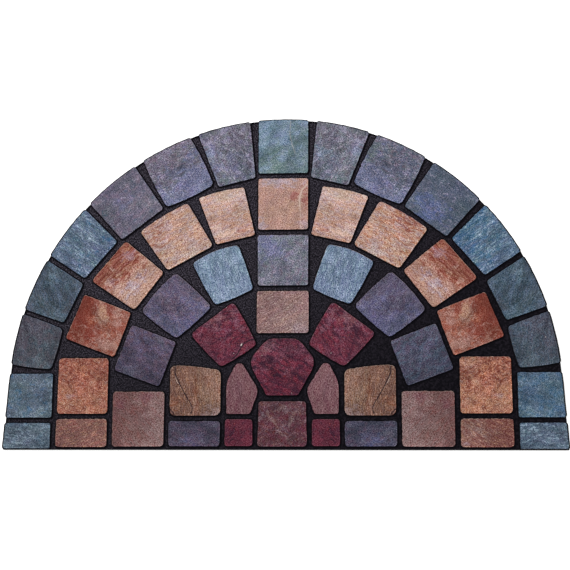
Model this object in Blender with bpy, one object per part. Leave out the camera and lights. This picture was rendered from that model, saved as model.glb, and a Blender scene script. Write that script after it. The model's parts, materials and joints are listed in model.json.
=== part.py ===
"""Half-round moulded rubber doormat, a paving arch of raised stones on a thin slab.

Units are metres. The mat lies face up: X runs along its straight edge, Y from the straight
edge to the crown of the arch, Z is up. The origin is the middle of the underside's box.
"""

import math
from dataclasses import dataclass

import bmesh
import bpy
from mathutils import Vector

# Overall size of the mat.
WIDTH = 0.922
DEPTH = 0.559
THICKNESS = 0.008

# The sides lean in from the long edge, straight up to where they meet half an ellipse.
HALF_FOOT = WIDTH / 2
ELLIPSE_CENTRE = 0.095
ELLIPSE_HALF_WIDTH = 0.454
ELLIPSE_RISE = DEPTH - ELLIPSE_CENTRE
LEAN_HEIGHT = 0.127
LEAN_HALF_WIDTH = 0.4529

# The arch rings are laid out from a centre on the middle line.
ARCH_CENTRE = 0.0813

# Heights. The joints are moulded lower than the stones, and the stones have soft shoulders.
JOINT_HEIGHT = 0.0048
WALL_TOP = 0.0070
SHOULDER_WIDTH = 0.0015

# The joints stop a little short of the stones all round the edge.
EDGE_RECESS = 0.0012

# A stone's foot goes this far into the slab, so that the two join.
FOOT_DEPTH = 0.0010

# How finely round stretches are divided.
OUTLINE_STEP = 0.020
ARC_ANGLE = math.radians(30.0)
ARC_STEP = 0.006
BULGE_STEPS = 3

# The top of a course stone bows by this share of its rise.
TOP_BOW_PER_RISE = 0.14

# The printed colours of the stones, as linear RGB, with the slab's own first.
STONE_COLOURS = {
    "crumb_rubber": (0.018, 0.017, 0.023),
    "teal_slate": (0.165, 0.216, 0.270),
    "blue_slate": (0.110, 0.155, 0.220),
    "grey_slate": (0.075, 0.095, 0.120),
    "violet_slate": (0.155, 0.155, 0.210),
    "plum_slate": (0.085, 0.080, 0.120),
    "steel_slate": (0.190, 0.230, 0.320),
    "peach_sandstone": (0.440, 0.290, 0.245),
    "rust_sandstone": (0.300, 0.140, 0.110),
    "brown_sandstone": (0.185, 0.105, 0.080),
    "rose_sandstone": (0.235, 0.150, 0.150),
    "burgundy_marble": (0.120, 0.035, 0.055),
}
ROUGHNESS = 0.9


@dataclass(frozen=True)
class ArchStone:
    """A stone of an arch ring, placed from the arch's centre.

    bearing is the way to the stone's middle, in degrees from straight up, and reach the distance
    to it. lean turns the stone past its bearing. The near edge faces the centre, and near_rake and
    far_rake turn the two edges off square, in degrees. swell is how far the near edge and the
    sides bow outwards, crown how far the far edge does, and corner the radius of the corners.
    """

    colour: str
    bearing: float
    reach: float
    depth: float
    near_width: float
    far_width: float
    lean: float
    near_rake: float
    far_rake: float
    swell: float
    crown: float
    corner: float


@dataclass(frozen=True)
class CourseStone:
    """A stone of the level courses or of the upright row, with its edges near X and Y.

    centre is the X of its middle, and rise how much higher the top is at its right-hand end.
    """

    colour: str
    centre: float
    bottom: float
    top: float
    bottom_width: float
    top_width: float
    rise: float
    corner: float


@dataclass(frozen=True)
class SideStone:
    """A level stone beside the arch whose outer end is the mat's edge."""

    colour: str
    inner: float
    bottom: float
    top: float


# Each ring's columns: colour, bearing, reach, depth, near_width, far_width, lean, near_rake,
# far_rake, swell, crown, corner. The outer ring's stones run on past their stated depth to the
# edge of the mat, so they have no far rake or crown.
OUTER = (
    ArchStone("violet_slate", 12.2, 0.4265, 0.101, 0.064, 0.092, 1.4, 0.2, 0.0, 0.0, 0.0, 0.004),
    ArchStone("violet_slate", 24.8, 0.4265, 0.097, 0.090, 0.0905, 2.2, -1.3, 0.0, 0.0019, 0.0, 0.007),
    ArchStone("violet_slate", 38.6, 0.425, 0.090, 0.087, 0.0985, -0.4, -0.5, 0.0, 0.0, 0.0, 0.004),
    ArchStone("blue_slate", 52.3, 0.426, 0.079, 0.082, 0.0975, -1.5, -1.1, 0.0, 0.0, 0.0, 0.004),
    ArchStone("grey_slate", 65.1, 0.4235, 0.075, 0.0725, 0.0905, -1.2, 1.1, 0.0, 0.0, 0.0, 0.005),
    ArchStone("grey_slate", 77.2, 0.4205, 0.072, 0.0706, 0.0866, -1.1, -0.2, 0.0, 0.0009, 0.0, 0.007),
)

# Middle ring.
MIDDLE = (
    ArchStone("peach_sandstone", 16.6, 0.3231, 0.0868, 0.067, 0.0788, 0.7, -3.9, -3.9, 0.0, 0.0026, 0.004),
    ArchStone("peach_sandstone", 33.2, 0.3266, 0.0862, 0.0864, 0.0933, -0.1, -4.7, -1.3, 0.0, 0.0023, 0.006),
    ArchStone("rust_sandstone", 51.2, 0.3314, 0.0871, 0.0796, 0.0878, 2.0, -0.2, -2.6, 0.0, 0.0, 0.0055),
    ArchStone("rust_sandstone", 68.0, 0.3305, 0.087, 0.0789, 0.0799, 0.8, 1.6, -0.3, 0.0005, 0.0, 0.004),
)

# Inner ring, and the short ring round the heart of the arch.
INNER = (
    ArchStone("steel_slate", 25.1, 0.2299, 0.084, 0.0694, 0.0835, -1.0, -1.4, -2.1, 0.0011, 0.0038, 0.0065),
    ArchStone("plum_slate", 49.0, 0.2353, 0.0825, 0.0797, 0.0876, 0.5, -7.3, -0.4, 0.0011, 0.0023, 0.0075),
    ArchStone("plum_slate", 72.2, 0.2387, 0.0804, 0.0783, 0.0805, -3.0, 0.6, 0.6, 0.0, 0.0, 0.005),
    ArchStone("burgundy_marble", 42.3, 0.1402, 0.0788, 0.0702, 0.0904, -6.4, -3.8, 1.1, 0.0012, 0.0, 0.0065),
)

# Each row's columns: colour, centre, bottom, top, bottom_width, top_width, rise, corner.
# Upright row on the mat's middle line, with the stone under the heart last.
UPRIGHT = (
    CourseStone("peach_sandstone", 0.0, 0.3662, 0.4548, 0.0836, 0.0842, 0.0, 0.004),
    CourseStone("violet_slate", 0.0, 0.2710, 0.3569, 0.0836, 0.0850, 0.0, 0.004),
    CourseStone("rose_sandstone", 0.0, 0.1912, 0.2615, 0.0860, 0.0856, 0.0, 0.004),
    CourseStone("burgundy_marble", 0.0, 0.0056, 0.0787, 0.0805, 0.0770, 0.0, 0.005),
)

# Level courses beside the heart, right-hand side.
COURSES = (
    CourseStone("burgundy_marble", 0.0709, 0.0062, 0.0498, 0.0457, 0.0450, 0.0, 0.005),
    CourseStone("plum_slate", 0.1437, 0.0059, 0.0466, 0.0840, 0.0845, 0.0, 0.005),
    CourseStone("brown_sandstone", 0.1430, 0.0556, 0.1304, 0.0834, 0.0835, 0.0088, 0.009),
    CourseStone("rose_sandstone", 0.2363, 0.0055, 0.0950, 0.0845, 0.0850, 0.0, 0.005),
    CourseStone("rust_sandstone", 0.3300, 0.0047, 0.0503, 0.0848, 0.0840, 0.0, 0.005),
    CourseStone("rust_sandstone", 0.3296, 0.0588, 0.1508, 0.0838, 0.0826, 0.0, 0.006),
)

# Right half of the heart and the whole right-hand shield: X, Y and corner radius of each point.
HEART = (
    (0.0258, 0.0884, 0.004),
    (0.0562, 0.1440, 0.022),
    (0.0252, 0.1821, 0.022),
)
SHIELD = (
    (0.0525, 0.0582, 0.004),
    (0.0918, 0.0582, 0.0035),
    (0.0920, 0.1102, 0.055),
    (0.0715, 0.1496, 0.008),
    (0.0389, 0.0973, 0.019),
)

# Stones at the foot of the outer ring. Columns: colour, inner, bottom, top.
SIDES = (
    SideStone("blue_slate", 0.3805, 0.0526, 0.1250),
    SideStone("blue_slate", 0.3818, 0.0014, 0.0438),
)

# Keystone at the crown, with upright sides that end at the mat's edge.
KEYSTONE_COLOUR = "teal_slate"
KEYSTONE_HALF_WIDTH = 0.0420
KEYSTONE_FOOT = 0.4640

# Corner radii where a stone meets the mat's edge, and of the slab at its feet.
EDGE_CORNER = 0.003
SLAB_CORNER = 0.0015

# A swollen edge bows past its stated line in the middle and falls short of it at the ends.
SWELL_AT_ENDS = 0.4

# Halvings of the mat's width that bring a point onto its edge.
HALVINGS = 24

# Directions in the plane of the mat.
UPWARDS = Vector((0.0, 1.0))
OUTWARDS = Vector((1.0, 0.0))


@dataclass(frozen=True)
class Corner:
    """A corner of an outline, its rounding, and how far the edge after it bows outwards."""

    point: Vector
    radius: float = 0.0
    bow: float = 0.0


def half_width_at(height):
    """Half the mat's width at this distance from its straight edge."""
    if height < LEAN_HEIGHT:
        return HALF_FOOT + (LEAN_HALF_WIDTH - HALF_FOOT) * height / LEAN_HEIGHT
    rise = min(1.0, (height - ELLIPSE_CENTRE) / ELLIPSE_RISE)
    return ELLIPSE_HALF_WIDTH * math.sqrt(1 - rise**2)


def run_to_edge(start, through):
    """Where the line from start through a second point meets the mat's edge, by halving."""
    way = (through - start).normalized() * WIDTH
    inside, outside = 0.0, 1.0
    for _ in range(HALVINGS):
        share = (inside + outside) / 2
        point = start + way * share
        if abs(point.x) < half_width_at(point.y):
            inside = share
        else:
            outside = share
    return start + way * inside


def edge_at(angle):
    """The point of the mat's edge in this direction from the ellipse's centre."""
    centre = Vector((0.0, ELLIPSE_CENTRE))
    return run_to_edge(centre, centre + Vector((math.cos(angle), math.sin(angle))))


def along_edge(first, last):
    """Points of the mat's edge between two of its points, both left out."""
    start, end = (math.atan2(point.y - ELLIPSE_CENTRE, point.x) for point in (first, last))
    steps = max(1, round((end - start) * ELLIPSE_HALF_WIDTH / OUTLINE_STEP))
    return [edge_at(start + (end - start) * step / steps) for step in range(1, steps)]


def rounded(corners):
    """The outline through these corners, anticlockwise, with its corners rounded and its edges bowed."""
    arcs = []
    for i, corner in enumerate(corners):
        before = (corner.point - corners[i - 1].point).normalized()
        after = (corners[(i + 1) % len(corners)].point - corner.point).normalized()
        bend = -before.angle_signed(after)
        if not corner.radius:
            arcs.append([corner.point])
            continue
        reach = corner.radius * math.tan(bend / 2)
        start = corner.point - before * reach
        middle = start + Vector((-before.y, before.x)) * corner.radius
        steps = max(1, round(bend / ARC_ANGLE), round(bend * corner.radius / ARC_STEP))
        arcs.append([turned(start, middle, bend * step / steps) for step in range(steps + 1)])
    points = []
    for i, corner in enumerate(corners):
        points += arcs[i]
        points += bowed(arcs[i][-1], arcs[(i + 1) % len(corners)][0], corner.bow)
    return points


def turned(point, centre, angle):
    """The point turned anticlockwise about centre."""
    arm = point - centre
    cos, sin = math.cos(angle), math.sin(angle)
    return centre + Vector((arm.x * cos - arm.y * sin, arm.x * sin + arm.y * cos))


def bowed(start, end, bow):
    """The inner points of an edge that bows outwards, which is to the right of its way."""
    if not bow:
        return []
    way = end - start
    outwards = Vector((way.y, -way.x)).normalized()
    shares = [step / BULGE_STEPS for step in range(1, BULGE_STEPS)]
    return [start + way * s + outwards * (bow * 4 * s * (1 - s)) for s in shares]


def arch_corners(stone):
    """Near left, near right, far right and far left corner, seen from the arch's centre."""
    way = math.radians(stone.bearing)
    centre = Vector((math.sin(way), math.cos(way))) * stone.reach + Vector((0.0, ARCH_CENTRE))
    axis = way + math.radians(stone.lean)
    outwards = Vector((math.sin(axis), math.cos(axis)))
    near = -stone.depth / 2 + SWELL_AT_ENDS * stone.swell
    far = stone.depth / 2 - SWELL_AT_ENDS * stone.crown
    corners = []
    for distance, width, rake in (
        (near, stone.near_width, stone.near_rake),
        (far, stone.far_width, stone.far_rake),
    ):
        across = axis + math.radians(rake)
        half = width / 2 - SWELL_AT_ENDS * stone.swell
        side = Vector((math.cos(across), -math.sin(across))) * half
        middle = centre + outwards * distance
        corners.append((middle - side, middle + side))
    (near_left, near_right), (far_left, far_right) = corners
    return near_left, near_right, far_right, far_left


def ring_outline(stone):
    """The outline of a stone of the middle or the inner ring."""
    near_left, near_right, far_right, far_left = arch_corners(stone)
    return rounded(
        (
            Corner(near_left, stone.corner, stone.swell),
            Corner(near_right, stone.corner, stone.swell),
            Corner(far_right, stone.corner, stone.crown),
            Corner(far_left, stone.corner, stone.swell),
        )
    )


def edge_outline(near_left, near_right, left_through, right_through, corner, swell=0.0):
    """The outline of a stone whose two sides run on to the mat's edge, and follow it between them."""
    right_end = run_to_edge(near_right, right_through)
    left_end = run_to_edge(near_left, left_through)
    return rounded(
        (
            Corner(near_left, corner, swell),
            Corner(near_right, corner, swell),
            Corner(right_end, EDGE_CORNER),
            *(Corner(point) for point in along_edge(right_end, left_end)),
            Corner(left_end, EDGE_CORNER, swell),
        )
    )


def course_outline(stone):
    """The outline of a stone of the upright row or the level courses."""
    half_bottom, half_top = stone.bottom_width / 2, stone.top_width / 2
    corners = (
        Vector((stone.centre - half_bottom, stone.bottom)),
        Vector((stone.centre + half_bottom, stone.bottom)),
        Vector((stone.centre + half_top, stone.top + stone.rise)),
        Vector((stone.centre - half_top, stone.top)),
    )
    bows = (0.0, 0.0, TOP_BOW_PER_RISE * stone.rise, 0.0)
    return rounded([Corner(point, stone.corner, bow) for point, bow in zip(corners, bows)])


def shaped_outline(points):
    """The outline through points given as X, Y and corner radius."""
    return rounded([Corner(Vector((x, y)), radius) for x, y, radius in points])


def mirrored(points):
    """The same outline on the other side of the mat's middle line, still anticlockwise."""
    return [Vector((-point.x, point.y)) for point in reversed(points)]


def middle_stones():
    """Colour, outline and whether it reaches the mat's edge, for each stone on the middle line."""
    left = Vector((-KEYSTONE_HALF_WIDTH, KEYSTONE_FOOT))
    right = Vector((KEYSTONE_HALF_WIDTH, KEYSTONE_FOOT))
    keystone = edge_outline(left, right, left + UPWARDS, right + UPWARDS, EDGE_CORNER)
    heart = (*HEART, *((-x, y, radius) for x, y, radius in reversed(HEART)))
    yield KEYSTONE_COLOUR, keystone, True
    yield "burgundy_marble", shaped_outline(heart), False
    for stone in UPRIGHT:
        yield stone.colour, course_outline(stone), False


def right_hand_stones():
    """The same for each stone to the right of the middle line."""
    for stone in OUTER:
        near_left, near_right, far_right, far_left = arch_corners(stone)
        sides = (near_left, near_right, far_left, far_right)
        yield stone.colour, edge_outline(*sides, stone.corner, stone.swell), True
    for stone in SIDES:
        top, bottom = Vector((stone.inner, stone.top)), Vector((stone.inner, stone.bottom))
        through = (top + OUTWARDS, bottom + OUTWARDS)
        yield stone.colour, edge_outline(top, bottom, *through, EDGE_CORNER), True
    for stone in MIDDLE + INNER:
        yield stone.colour, ring_outline(stone), False
    for stone in COURSES:
        yield stone.colour, course_outline(stone), False
    yield "rose_sandstone", shaped_outline(SHIELD), False


def all_stones():
    """The same for every stone of the mat."""
    yield from middle_stones()
    for colour, outline, at_edge in right_hand_stones():
        yield colour, outline, at_edge
        yield colour, mirrored(outline), at_edge


def slab_outline():
    """The slab's edge, a little inside the stones' edge but full size along the straight side."""
    steps = round(math.pi * ELLIPSE_HALF_WIDTH / OUTLINE_STEP)
    centre = Vector((0.0, ELLIPSE_CENTRE))
    arch = []
    for step in range(steps + 1):
        point = edge_at(math.pi * step / steps)
        arch.append(Corner(point - (point - centre).normalized() * EDGE_RECESS))
    foot = HALF_FOOT - EDGE_RECESS
    left_foot, right_foot = Vector((-foot, 0.0)), Vector((foot, 0.0))
    return rounded((*arch, Corner(left_foot, SLAB_CORNER), Corner(right_foot, SLAB_CORNER)))


def raise_face(bm, outline, floor, height, material):
    """A closed prism on this outline. Returns its top face."""
    middle = Vector((0.0, DEPTH / 2))
    base = [bm.verts.new((*(point - middle), floor)) for point in outline]
    face = bm.faces.new(base)
    face.material_index = material
    extruded = bmesh.ops.extrude_face_region(bm, geom=[face], use_keep_orig=True)["geom"]
    top = next(item for item in extruded if isinstance(item, bmesh.types.BMFace))
    bmesh.ops.translate(bm, verts=top.verts, vec=(0, 0, height - floor))
    face.normal_flip()
    return top


def material(name, colour):
    """A moulded rubber surface, plain or printed, in one colour."""
    made = bpy.data.materials.new(name)
    made.use_nodes = True
    shader = made.node_tree.nodes["Principled BSDF"]
    shader.inputs["Base Color"].default_value = (*colour, 1.0)
    shader.inputs["Roughness"].default_value = ROUGHNESS
    shader.inputs["Metallic"].default_value = 0.0
    return made


def mesh_object(name, bm, materials):
    """An object made of this mesh, with its faces turned outwards."""
    mesh = bpy.data.meshes.new(name)
    bmesh.ops.recalc_face_normals(bm, faces=bm.faces)
    bm.to_mesh(mesh)
    bm.free()
    for made in materials:
        mesh.materials.append(made)
    made_object = bpy.data.objects.new(name, mesh)
    bpy.context.scene.collection.objects.link(made_object)
    return made_object


def build_slab(materials):
    """The slab, as high as the joints between the stones."""
    bm = bmesh.new()
    raise_face(bm, slab_outline(), 0.0, JOINT_HEIGHT, 0)
    return mesh_object("doormat", bm, materials)


def build_stones(materials):
    """Every raised stone, each a prism with a chamfered shoulder, as one joined object."""
    bm = bmesh.new()
    slots = list(STONE_COLOURS)
    for colour, outline, at_edge in all_stones():
        floor = 0.0 if at_edge else JOINT_HEIGHT - FOOT_DEPTH
        top = raise_face(bm, outline, floor, WALL_TOP, slots.index(colour))
        bmesh.ops.inset_region(
            bm,
            faces=[top],
            thickness=SHOULDER_WIDTH,
            depth=THICKNESS - WALL_TOP,
            use_even_offset=True,
        )
    return mesh_object("stone_forms", bm, materials)


def build_doormat():
    """The slab with every stone joined on: one moulded solid."""
    for old in list(bpy.data.objects):
        bpy.data.objects.remove(old, do_unlink=True)
    materials = [material(name, colour) for name, colour in STONE_COLOURS.items()]
    doormat = build_slab(materials)
    stones = build_stones(materials)
    stones.hide_render = True
    stones.display_type = "WIRE"
    union = doormat.modifiers.new("raised_stones", "BOOLEAN")
    union.operation = "UNION"
    union.solver = "EXACT"
    union.object = stones


build_doormat()
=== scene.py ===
"""Half-round rubber doormat printed as a paving arch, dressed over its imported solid.

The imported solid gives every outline. Copies of it are merged and parted into the slab with its
joints and the raised stones. The stones are rounded, given their moulded relief and printed.
Lengths are metres, unless a name, a comment or a docstring says millimetres.
"""

import json
import logging
import math
import random
from collections.abc import Callable
from dataclasses import dataclass, field, replace
from enum import Enum
from statistics import NormalDist

import bmesh
import bpy
from mathutils import Matrix, Vector, kdtree, noise

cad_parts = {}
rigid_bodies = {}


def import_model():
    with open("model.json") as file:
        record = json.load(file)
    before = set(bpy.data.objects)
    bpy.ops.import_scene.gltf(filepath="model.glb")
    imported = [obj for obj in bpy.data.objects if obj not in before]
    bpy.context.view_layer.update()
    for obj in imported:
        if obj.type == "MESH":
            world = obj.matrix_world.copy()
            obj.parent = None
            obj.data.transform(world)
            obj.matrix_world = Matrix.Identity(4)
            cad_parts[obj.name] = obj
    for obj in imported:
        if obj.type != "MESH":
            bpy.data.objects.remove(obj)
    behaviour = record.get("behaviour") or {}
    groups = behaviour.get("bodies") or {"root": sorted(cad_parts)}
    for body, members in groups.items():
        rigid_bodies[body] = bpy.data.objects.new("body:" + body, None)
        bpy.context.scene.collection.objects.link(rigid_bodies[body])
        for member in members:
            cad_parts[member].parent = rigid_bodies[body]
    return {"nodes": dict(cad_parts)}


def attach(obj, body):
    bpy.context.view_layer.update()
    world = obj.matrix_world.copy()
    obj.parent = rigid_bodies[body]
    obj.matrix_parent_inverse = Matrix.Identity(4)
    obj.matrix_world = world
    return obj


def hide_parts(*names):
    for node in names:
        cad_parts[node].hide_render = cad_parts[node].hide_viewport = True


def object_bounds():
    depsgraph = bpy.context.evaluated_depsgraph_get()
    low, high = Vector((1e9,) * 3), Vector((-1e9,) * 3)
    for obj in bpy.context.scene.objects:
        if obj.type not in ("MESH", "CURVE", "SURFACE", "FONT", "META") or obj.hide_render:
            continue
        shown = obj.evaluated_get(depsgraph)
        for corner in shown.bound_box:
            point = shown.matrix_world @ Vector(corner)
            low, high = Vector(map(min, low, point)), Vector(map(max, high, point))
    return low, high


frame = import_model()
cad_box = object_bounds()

log = logging.getLogger("doormat")

Socket = bpy.types.NodeSocket
Element = bmesh.types.BMFace | bmesh.types.BMEdge

MM = 0.001
NODE = "doormat"
BODY = "root"

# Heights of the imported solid, and how near a value counts as the same.
JOINT_HEIGHT = 4.8 * MM
WALL_TOP = 7.0 * MM
THICKNESS = 8.0 * MM
NEAR = 0.01 * MM

# Attributes on points. The slab's says how many widths of the band of painted shade at a stone's
# foot a point of a joint is from that foot, and the stones' how far a point is from the mat's edge.
PAINTED_SHADE_WIDTHS = "painted_shade_widths"
RIM_DISTANCE = "rim_distance"

# How flat two faces lie to be merged into one, and how sharp an edge stays, in degrees.
FLAT_ANGLE = 0.3
SHARP_ANGLE = 50.0

# The side of the mat towards the lamp, in degrees from the X axis, where the joints are painted
# palest. How much pale fibre this painted light shows towards that side, and up the mat, where
# painted shade darkens the joints lower down: from and to in millimetres, and thin and thick.
PAINTED_LIGHT_SIDE = 140.0
PAINTED_LIGHT_ALONG = (-300.0, 200.0, 0.02, 0.3)
PAINTED_LIGHT_UP = (-240.0, 0.0, 0.45, 1.0)

# Where a joint's open floor starts past the painted shade at a stone's foot and is whole, in
# widths of that shaded band.
PAINTED_SHADE_EDGE = (0.7, 1.5)

# The side of a stone whose shoulder shows the rim's ink, partly print offset and partly painted
# highlight, and the side towards the lamp at the upper left, where the print ends the highest.
RIM_SIDE = (-0.35, 1.0, 0.0)
LAMP_SIDE = Vector((-0.7, 0.7, 0.0))

# The print's mean tone, as the fibre dulls it, how much brighter the shoulders facing away from
# the lamp are painted at most, as painted light that cancels their shade, and how far a shoulder
# faces the lamp's side where that is whole and where it is gone.
FIBRE_TONE = 0.86
PAINTED_LIFT = 1.5
PAINTED_LIFT_FACING = (-0.5, 0.0)

# How rough the print's noise is, and how far its values and the grain's spread about one half.
NOISE_ROUGHNESS = 0.68
NOISE_SPREAD = 0.059
GRAIN_SPREAD = 0.1

# Soft edges of the inks, where a mask starts and is whole. Clouds and drifts count in spreads of
# the noise or reaches of the drift, veins in spreads, and flecks and cracks in their own width.
CLOUD_EDGE = (-0.5, 0.6)
DRIFT_EDGE = (-0.45, 0.6)
VEIN_BREAKS = (-0.6, 0.8)
FLECK_CORE = 0.4
CRACK_EDGE = (0.65, 0.2)

# How uneven a drift's front is, a mark's outline at most, how long and wide the spots of that
# unevenness are in millimetres, and how far out a mark's outline lies.
DRIFT_UNEVENNESS = 0.45
MARK_UNEVENNESS = 0.3
MARK_SPOTS = (12.0, 7.0)
MARK_OUTLINE = 1.1

# How far the noise is from one half at the edge of a vein as wide as the veins are apart.
VEIN_SLOPE = 0.3

# Farther than any point of a stone is from its cracks, in millimetres.
FAR_OFF = 100.0

# Where the rim's ink, partly print offset and partly painted highlight, starts down a shoulder
# and is whole, as heights, and how far a shoulder has to face the rim's side for it to start and
# to be whole, with how much of it shows then.
SHOULDER = (THICKNESS - 0.2 * MM, WALL_TOP + 0.1 * MM)
RIM_FACING = (0.0, 0.45, 0.0, 0.42)

# The heights where the print ends, on the sides where it ends the lowest and the highest, and how
# far a side has to face away and towards for them.
PRINT_END = (WALL_TOP - 1.2 * MM, WALL_TOP + 0.3 * MM)
END_FACING = (-0.4, 0.4)

# How uneven that end is in millimetres, by the fibre's grain and by a broader noise, how many
# millimetres wide that noise is, and the unevenness at the mat's edge as a share of it all.
GRAIN_UNEVENNESS = 0.9
BROAD_UNEVENNESS = 1.6
BROAD_SIZE = 6.0
EDGE_UNEVENNESS = 0.5

# How the grain of the print turns into its roughness: from and to, and least and most.
PRINT_ROUGHNESS = (0.3, 0.7, 0.8, 0.97)

# How wide the print's wavers are, large, small and in a crack, and a crack's reach, in millimetres.
LARGE_WAVER = 18.0
SMALL_WAVER = 5.0
CRACK_WAVER = 3.0
CRACK_SWAY = 1.4

# The print's mottling and its tufts of fibre, in millimetres. The fibres are a third of a
# millimetre long, and are drawn this large so that they show. A stretched print has longer tufts.
MOTTLE_SIZE = 24.0
MOTTLE_ROUGHNESS = 0.72
TUFT_WIDTH = 1.45
TUFT_LENGTH = 1.5
TUFT_PULL = (0.75, 0.35)

# Tints of the mottling and the tufts, as shares of a print's tinge.
MOTTLE_TINT = 1.3
TUFT_TINT = 0.6

# How grey the light and dark fibre ends in the print are, from its own colour to none.
UNDYED_SHARE = 0.6

# How little loose fibre mirrors, and crumb under its fibre, which mirrors less still. The bare
# pressed rubber below mirrors the most.
MATT_FIBRE = 0.05
MATT_CRUMB = 0.01
PRESSED_MIRROR = 0.3

# How deep the grain of the fibre is, and how much light its tips catch.
FIBRE_DEPTH = 0.45 * MM
FIBRE_SHEEN = 0.04

# How wide the bare line at the mat's edge is on the near half, and from CROWN_SIDE upwards.
BARE_LINE = (2.4 * MM, 1.85 * MM)
CROWN_SIDE = 0.2

# How far past its own width a crack draws a stone's grid down, in millimetres.
GRID_REACH = 1.2

# A Mix node's colour sockets, by their place in its list.
MIX_SHARE, MIX_UNDER, MIX_OVER, MIX_RESULT = 0, 6, 7, 2


class Ink(Enum):
    """Inks of the print and colours of the rubber, as sRGB hex."""

    BLACK_RUBBER = "#0D0C10"
    GRANULE = "#1D1A20"
    PALE_FIBRE = "#57525D"
    SOOT = "#1F1820"
    SEA_GREY = "#72838D"
    MIST_BLUE = "#7C90AB"
    FERN_GREY = "#637877"
    TEAL_GREY = "#6A7F8C"
    VIOLET_GREY = "#727284"
    HAZE_BLUE = "#7A7EA2"
    MAUVE_GREY = "#7B6675"
    MOSS_GREY = "#6A7678"
    ASH = "#565A68"
    GRAPHITE = "#4E4B52"
    PALE_LILAC = "#A39DB2"
    SLATE_BLUE = "#5A6376"
    ROSE_SLATE = "#706979"
    DENIM = "#545F70"
    INK_BLUE = "#5B6794"
    COLD_BLUE = "#456888"
    GREY_BLUE = "#5F687E"
    ASH_BLUE = "#5E6772"
    ICE_BLUE = "#A2B9CC"
    DARK_TEAL = "#465562"
    STORM_BLUE = "#586B80"
    DEEP_TEAL = "#38434C"
    LEAD = "#484E59"
    HARBOUR_BLUE = "#546778"
    STEEL_BLUE = "#7685A1"
    STEEL_SHADE = "#60738A"
    DUSK_PURPLE = "#5B556B"
    DUSK_BLUE = "#66678C"
    NIGHT_PURPLE = "#4B4759"
    NIGHT_BLUE = "#50587A"
    DEEP_NAVY = "#343B4A"
    PLUM = "#574352"
    PEACH = "#BF9A8D"
    SALMON = "#AE8A80"
    APRICOT = "#B89284"
    CREAM = "#DCC8BC"
    LILAC = "#B7A5B1"
    TAN = "#C2967A"
    ORANGE = "#B87654"
    ROSE_RED = "#955250"
    RUST = "#945549"
    BRICK = "#70322A"
    CLAY = "#B5785F"
    TERRACOTTA = "#A96957"
    ROSE_BROWN = "#815D57"
    MAUVE_BROWN = "#7A5E5D"
    PALE_MAUVE = "#8C7473"
    UMBER = "#664645"
    BROWN_SAND = "#7C5D52"
    SAND_TAN = "#8A6E62"
    DEEP_UMBER = "#664B44"
    RED_EARTH = "#6F3D2E"
    DRY_RED = "#70403D"
    ROSE_TAN = "#8E7072"
    ROSY = "#79565C"
    BURGUNDY = "#6C3B4B"
    WINE = "#602E3D"
    CRIMSON = "#762739"
    DUSTY_WINE = "#7C4C5D"
    PLUM_BLACK = "#3A2030"
    OLD_ROSE = "#66454B"
    FADED_WINE = "#563940"
    FLECK_WHITE = "#E2DAD4"
    FLECK_ORANGE = "#AE5536"


class Side(Enum):
    """Which stone of a mirrored pair carries a layer or a crack."""

    BOTH = 0
    RIGHT = 1
    LEFT = -1


class Slot(Enum):
    """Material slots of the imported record."""

    RUBBER = "crumb_rubber"
    BLUE = "blue_slate_print"
    VIOLET = "violet_slate_print"
    SANDSTONE = "sandstone_print"
    MARBLE = "marble_print"


def linear(ink: Ink) -> tuple[float, float, float, float]:
    """Turn an ink's sRGB hex value into the linear colour that a shader takes.

    Args:
        ink: The ink.

    Returns:
        Red, green, blue and an alpha of one.
    """
    parts = (int(ink.value[i : i + 2], 16) / 255 for i in (1, 3, 5))
    red, green, blue = (c / 12.92 if c <= 0.04045 else ((c + 0.055) / 1.055) ** 2.4 for c in parts)
    return red, green, blue, 1.0


def add_node(
    tree: bpy.types.NodeTree, kind: str, inputs: dict | None = None, **settings: object
) -> bpy.types.Node:
    """Add a node with its settings, and set or link its inputs.

    Args:
        tree: The node tree that the node goes into.
        kind: The node's type name.
        inputs: Values or other nodes' sockets, by the input's name or place.
        settings: The node's own properties.

    Returns:
        The new node.
    """
    node = tree.nodes.new(kind)
    for name, value in settings.items():
        setattr(node, name, value)
    for key, value in (inputs or {}).items():
        if isinstance(value, Socket):
            tree.links.new(value, node.inputs[key])
        else:
            node.inputs[key].default_value = value
    return node


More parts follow.
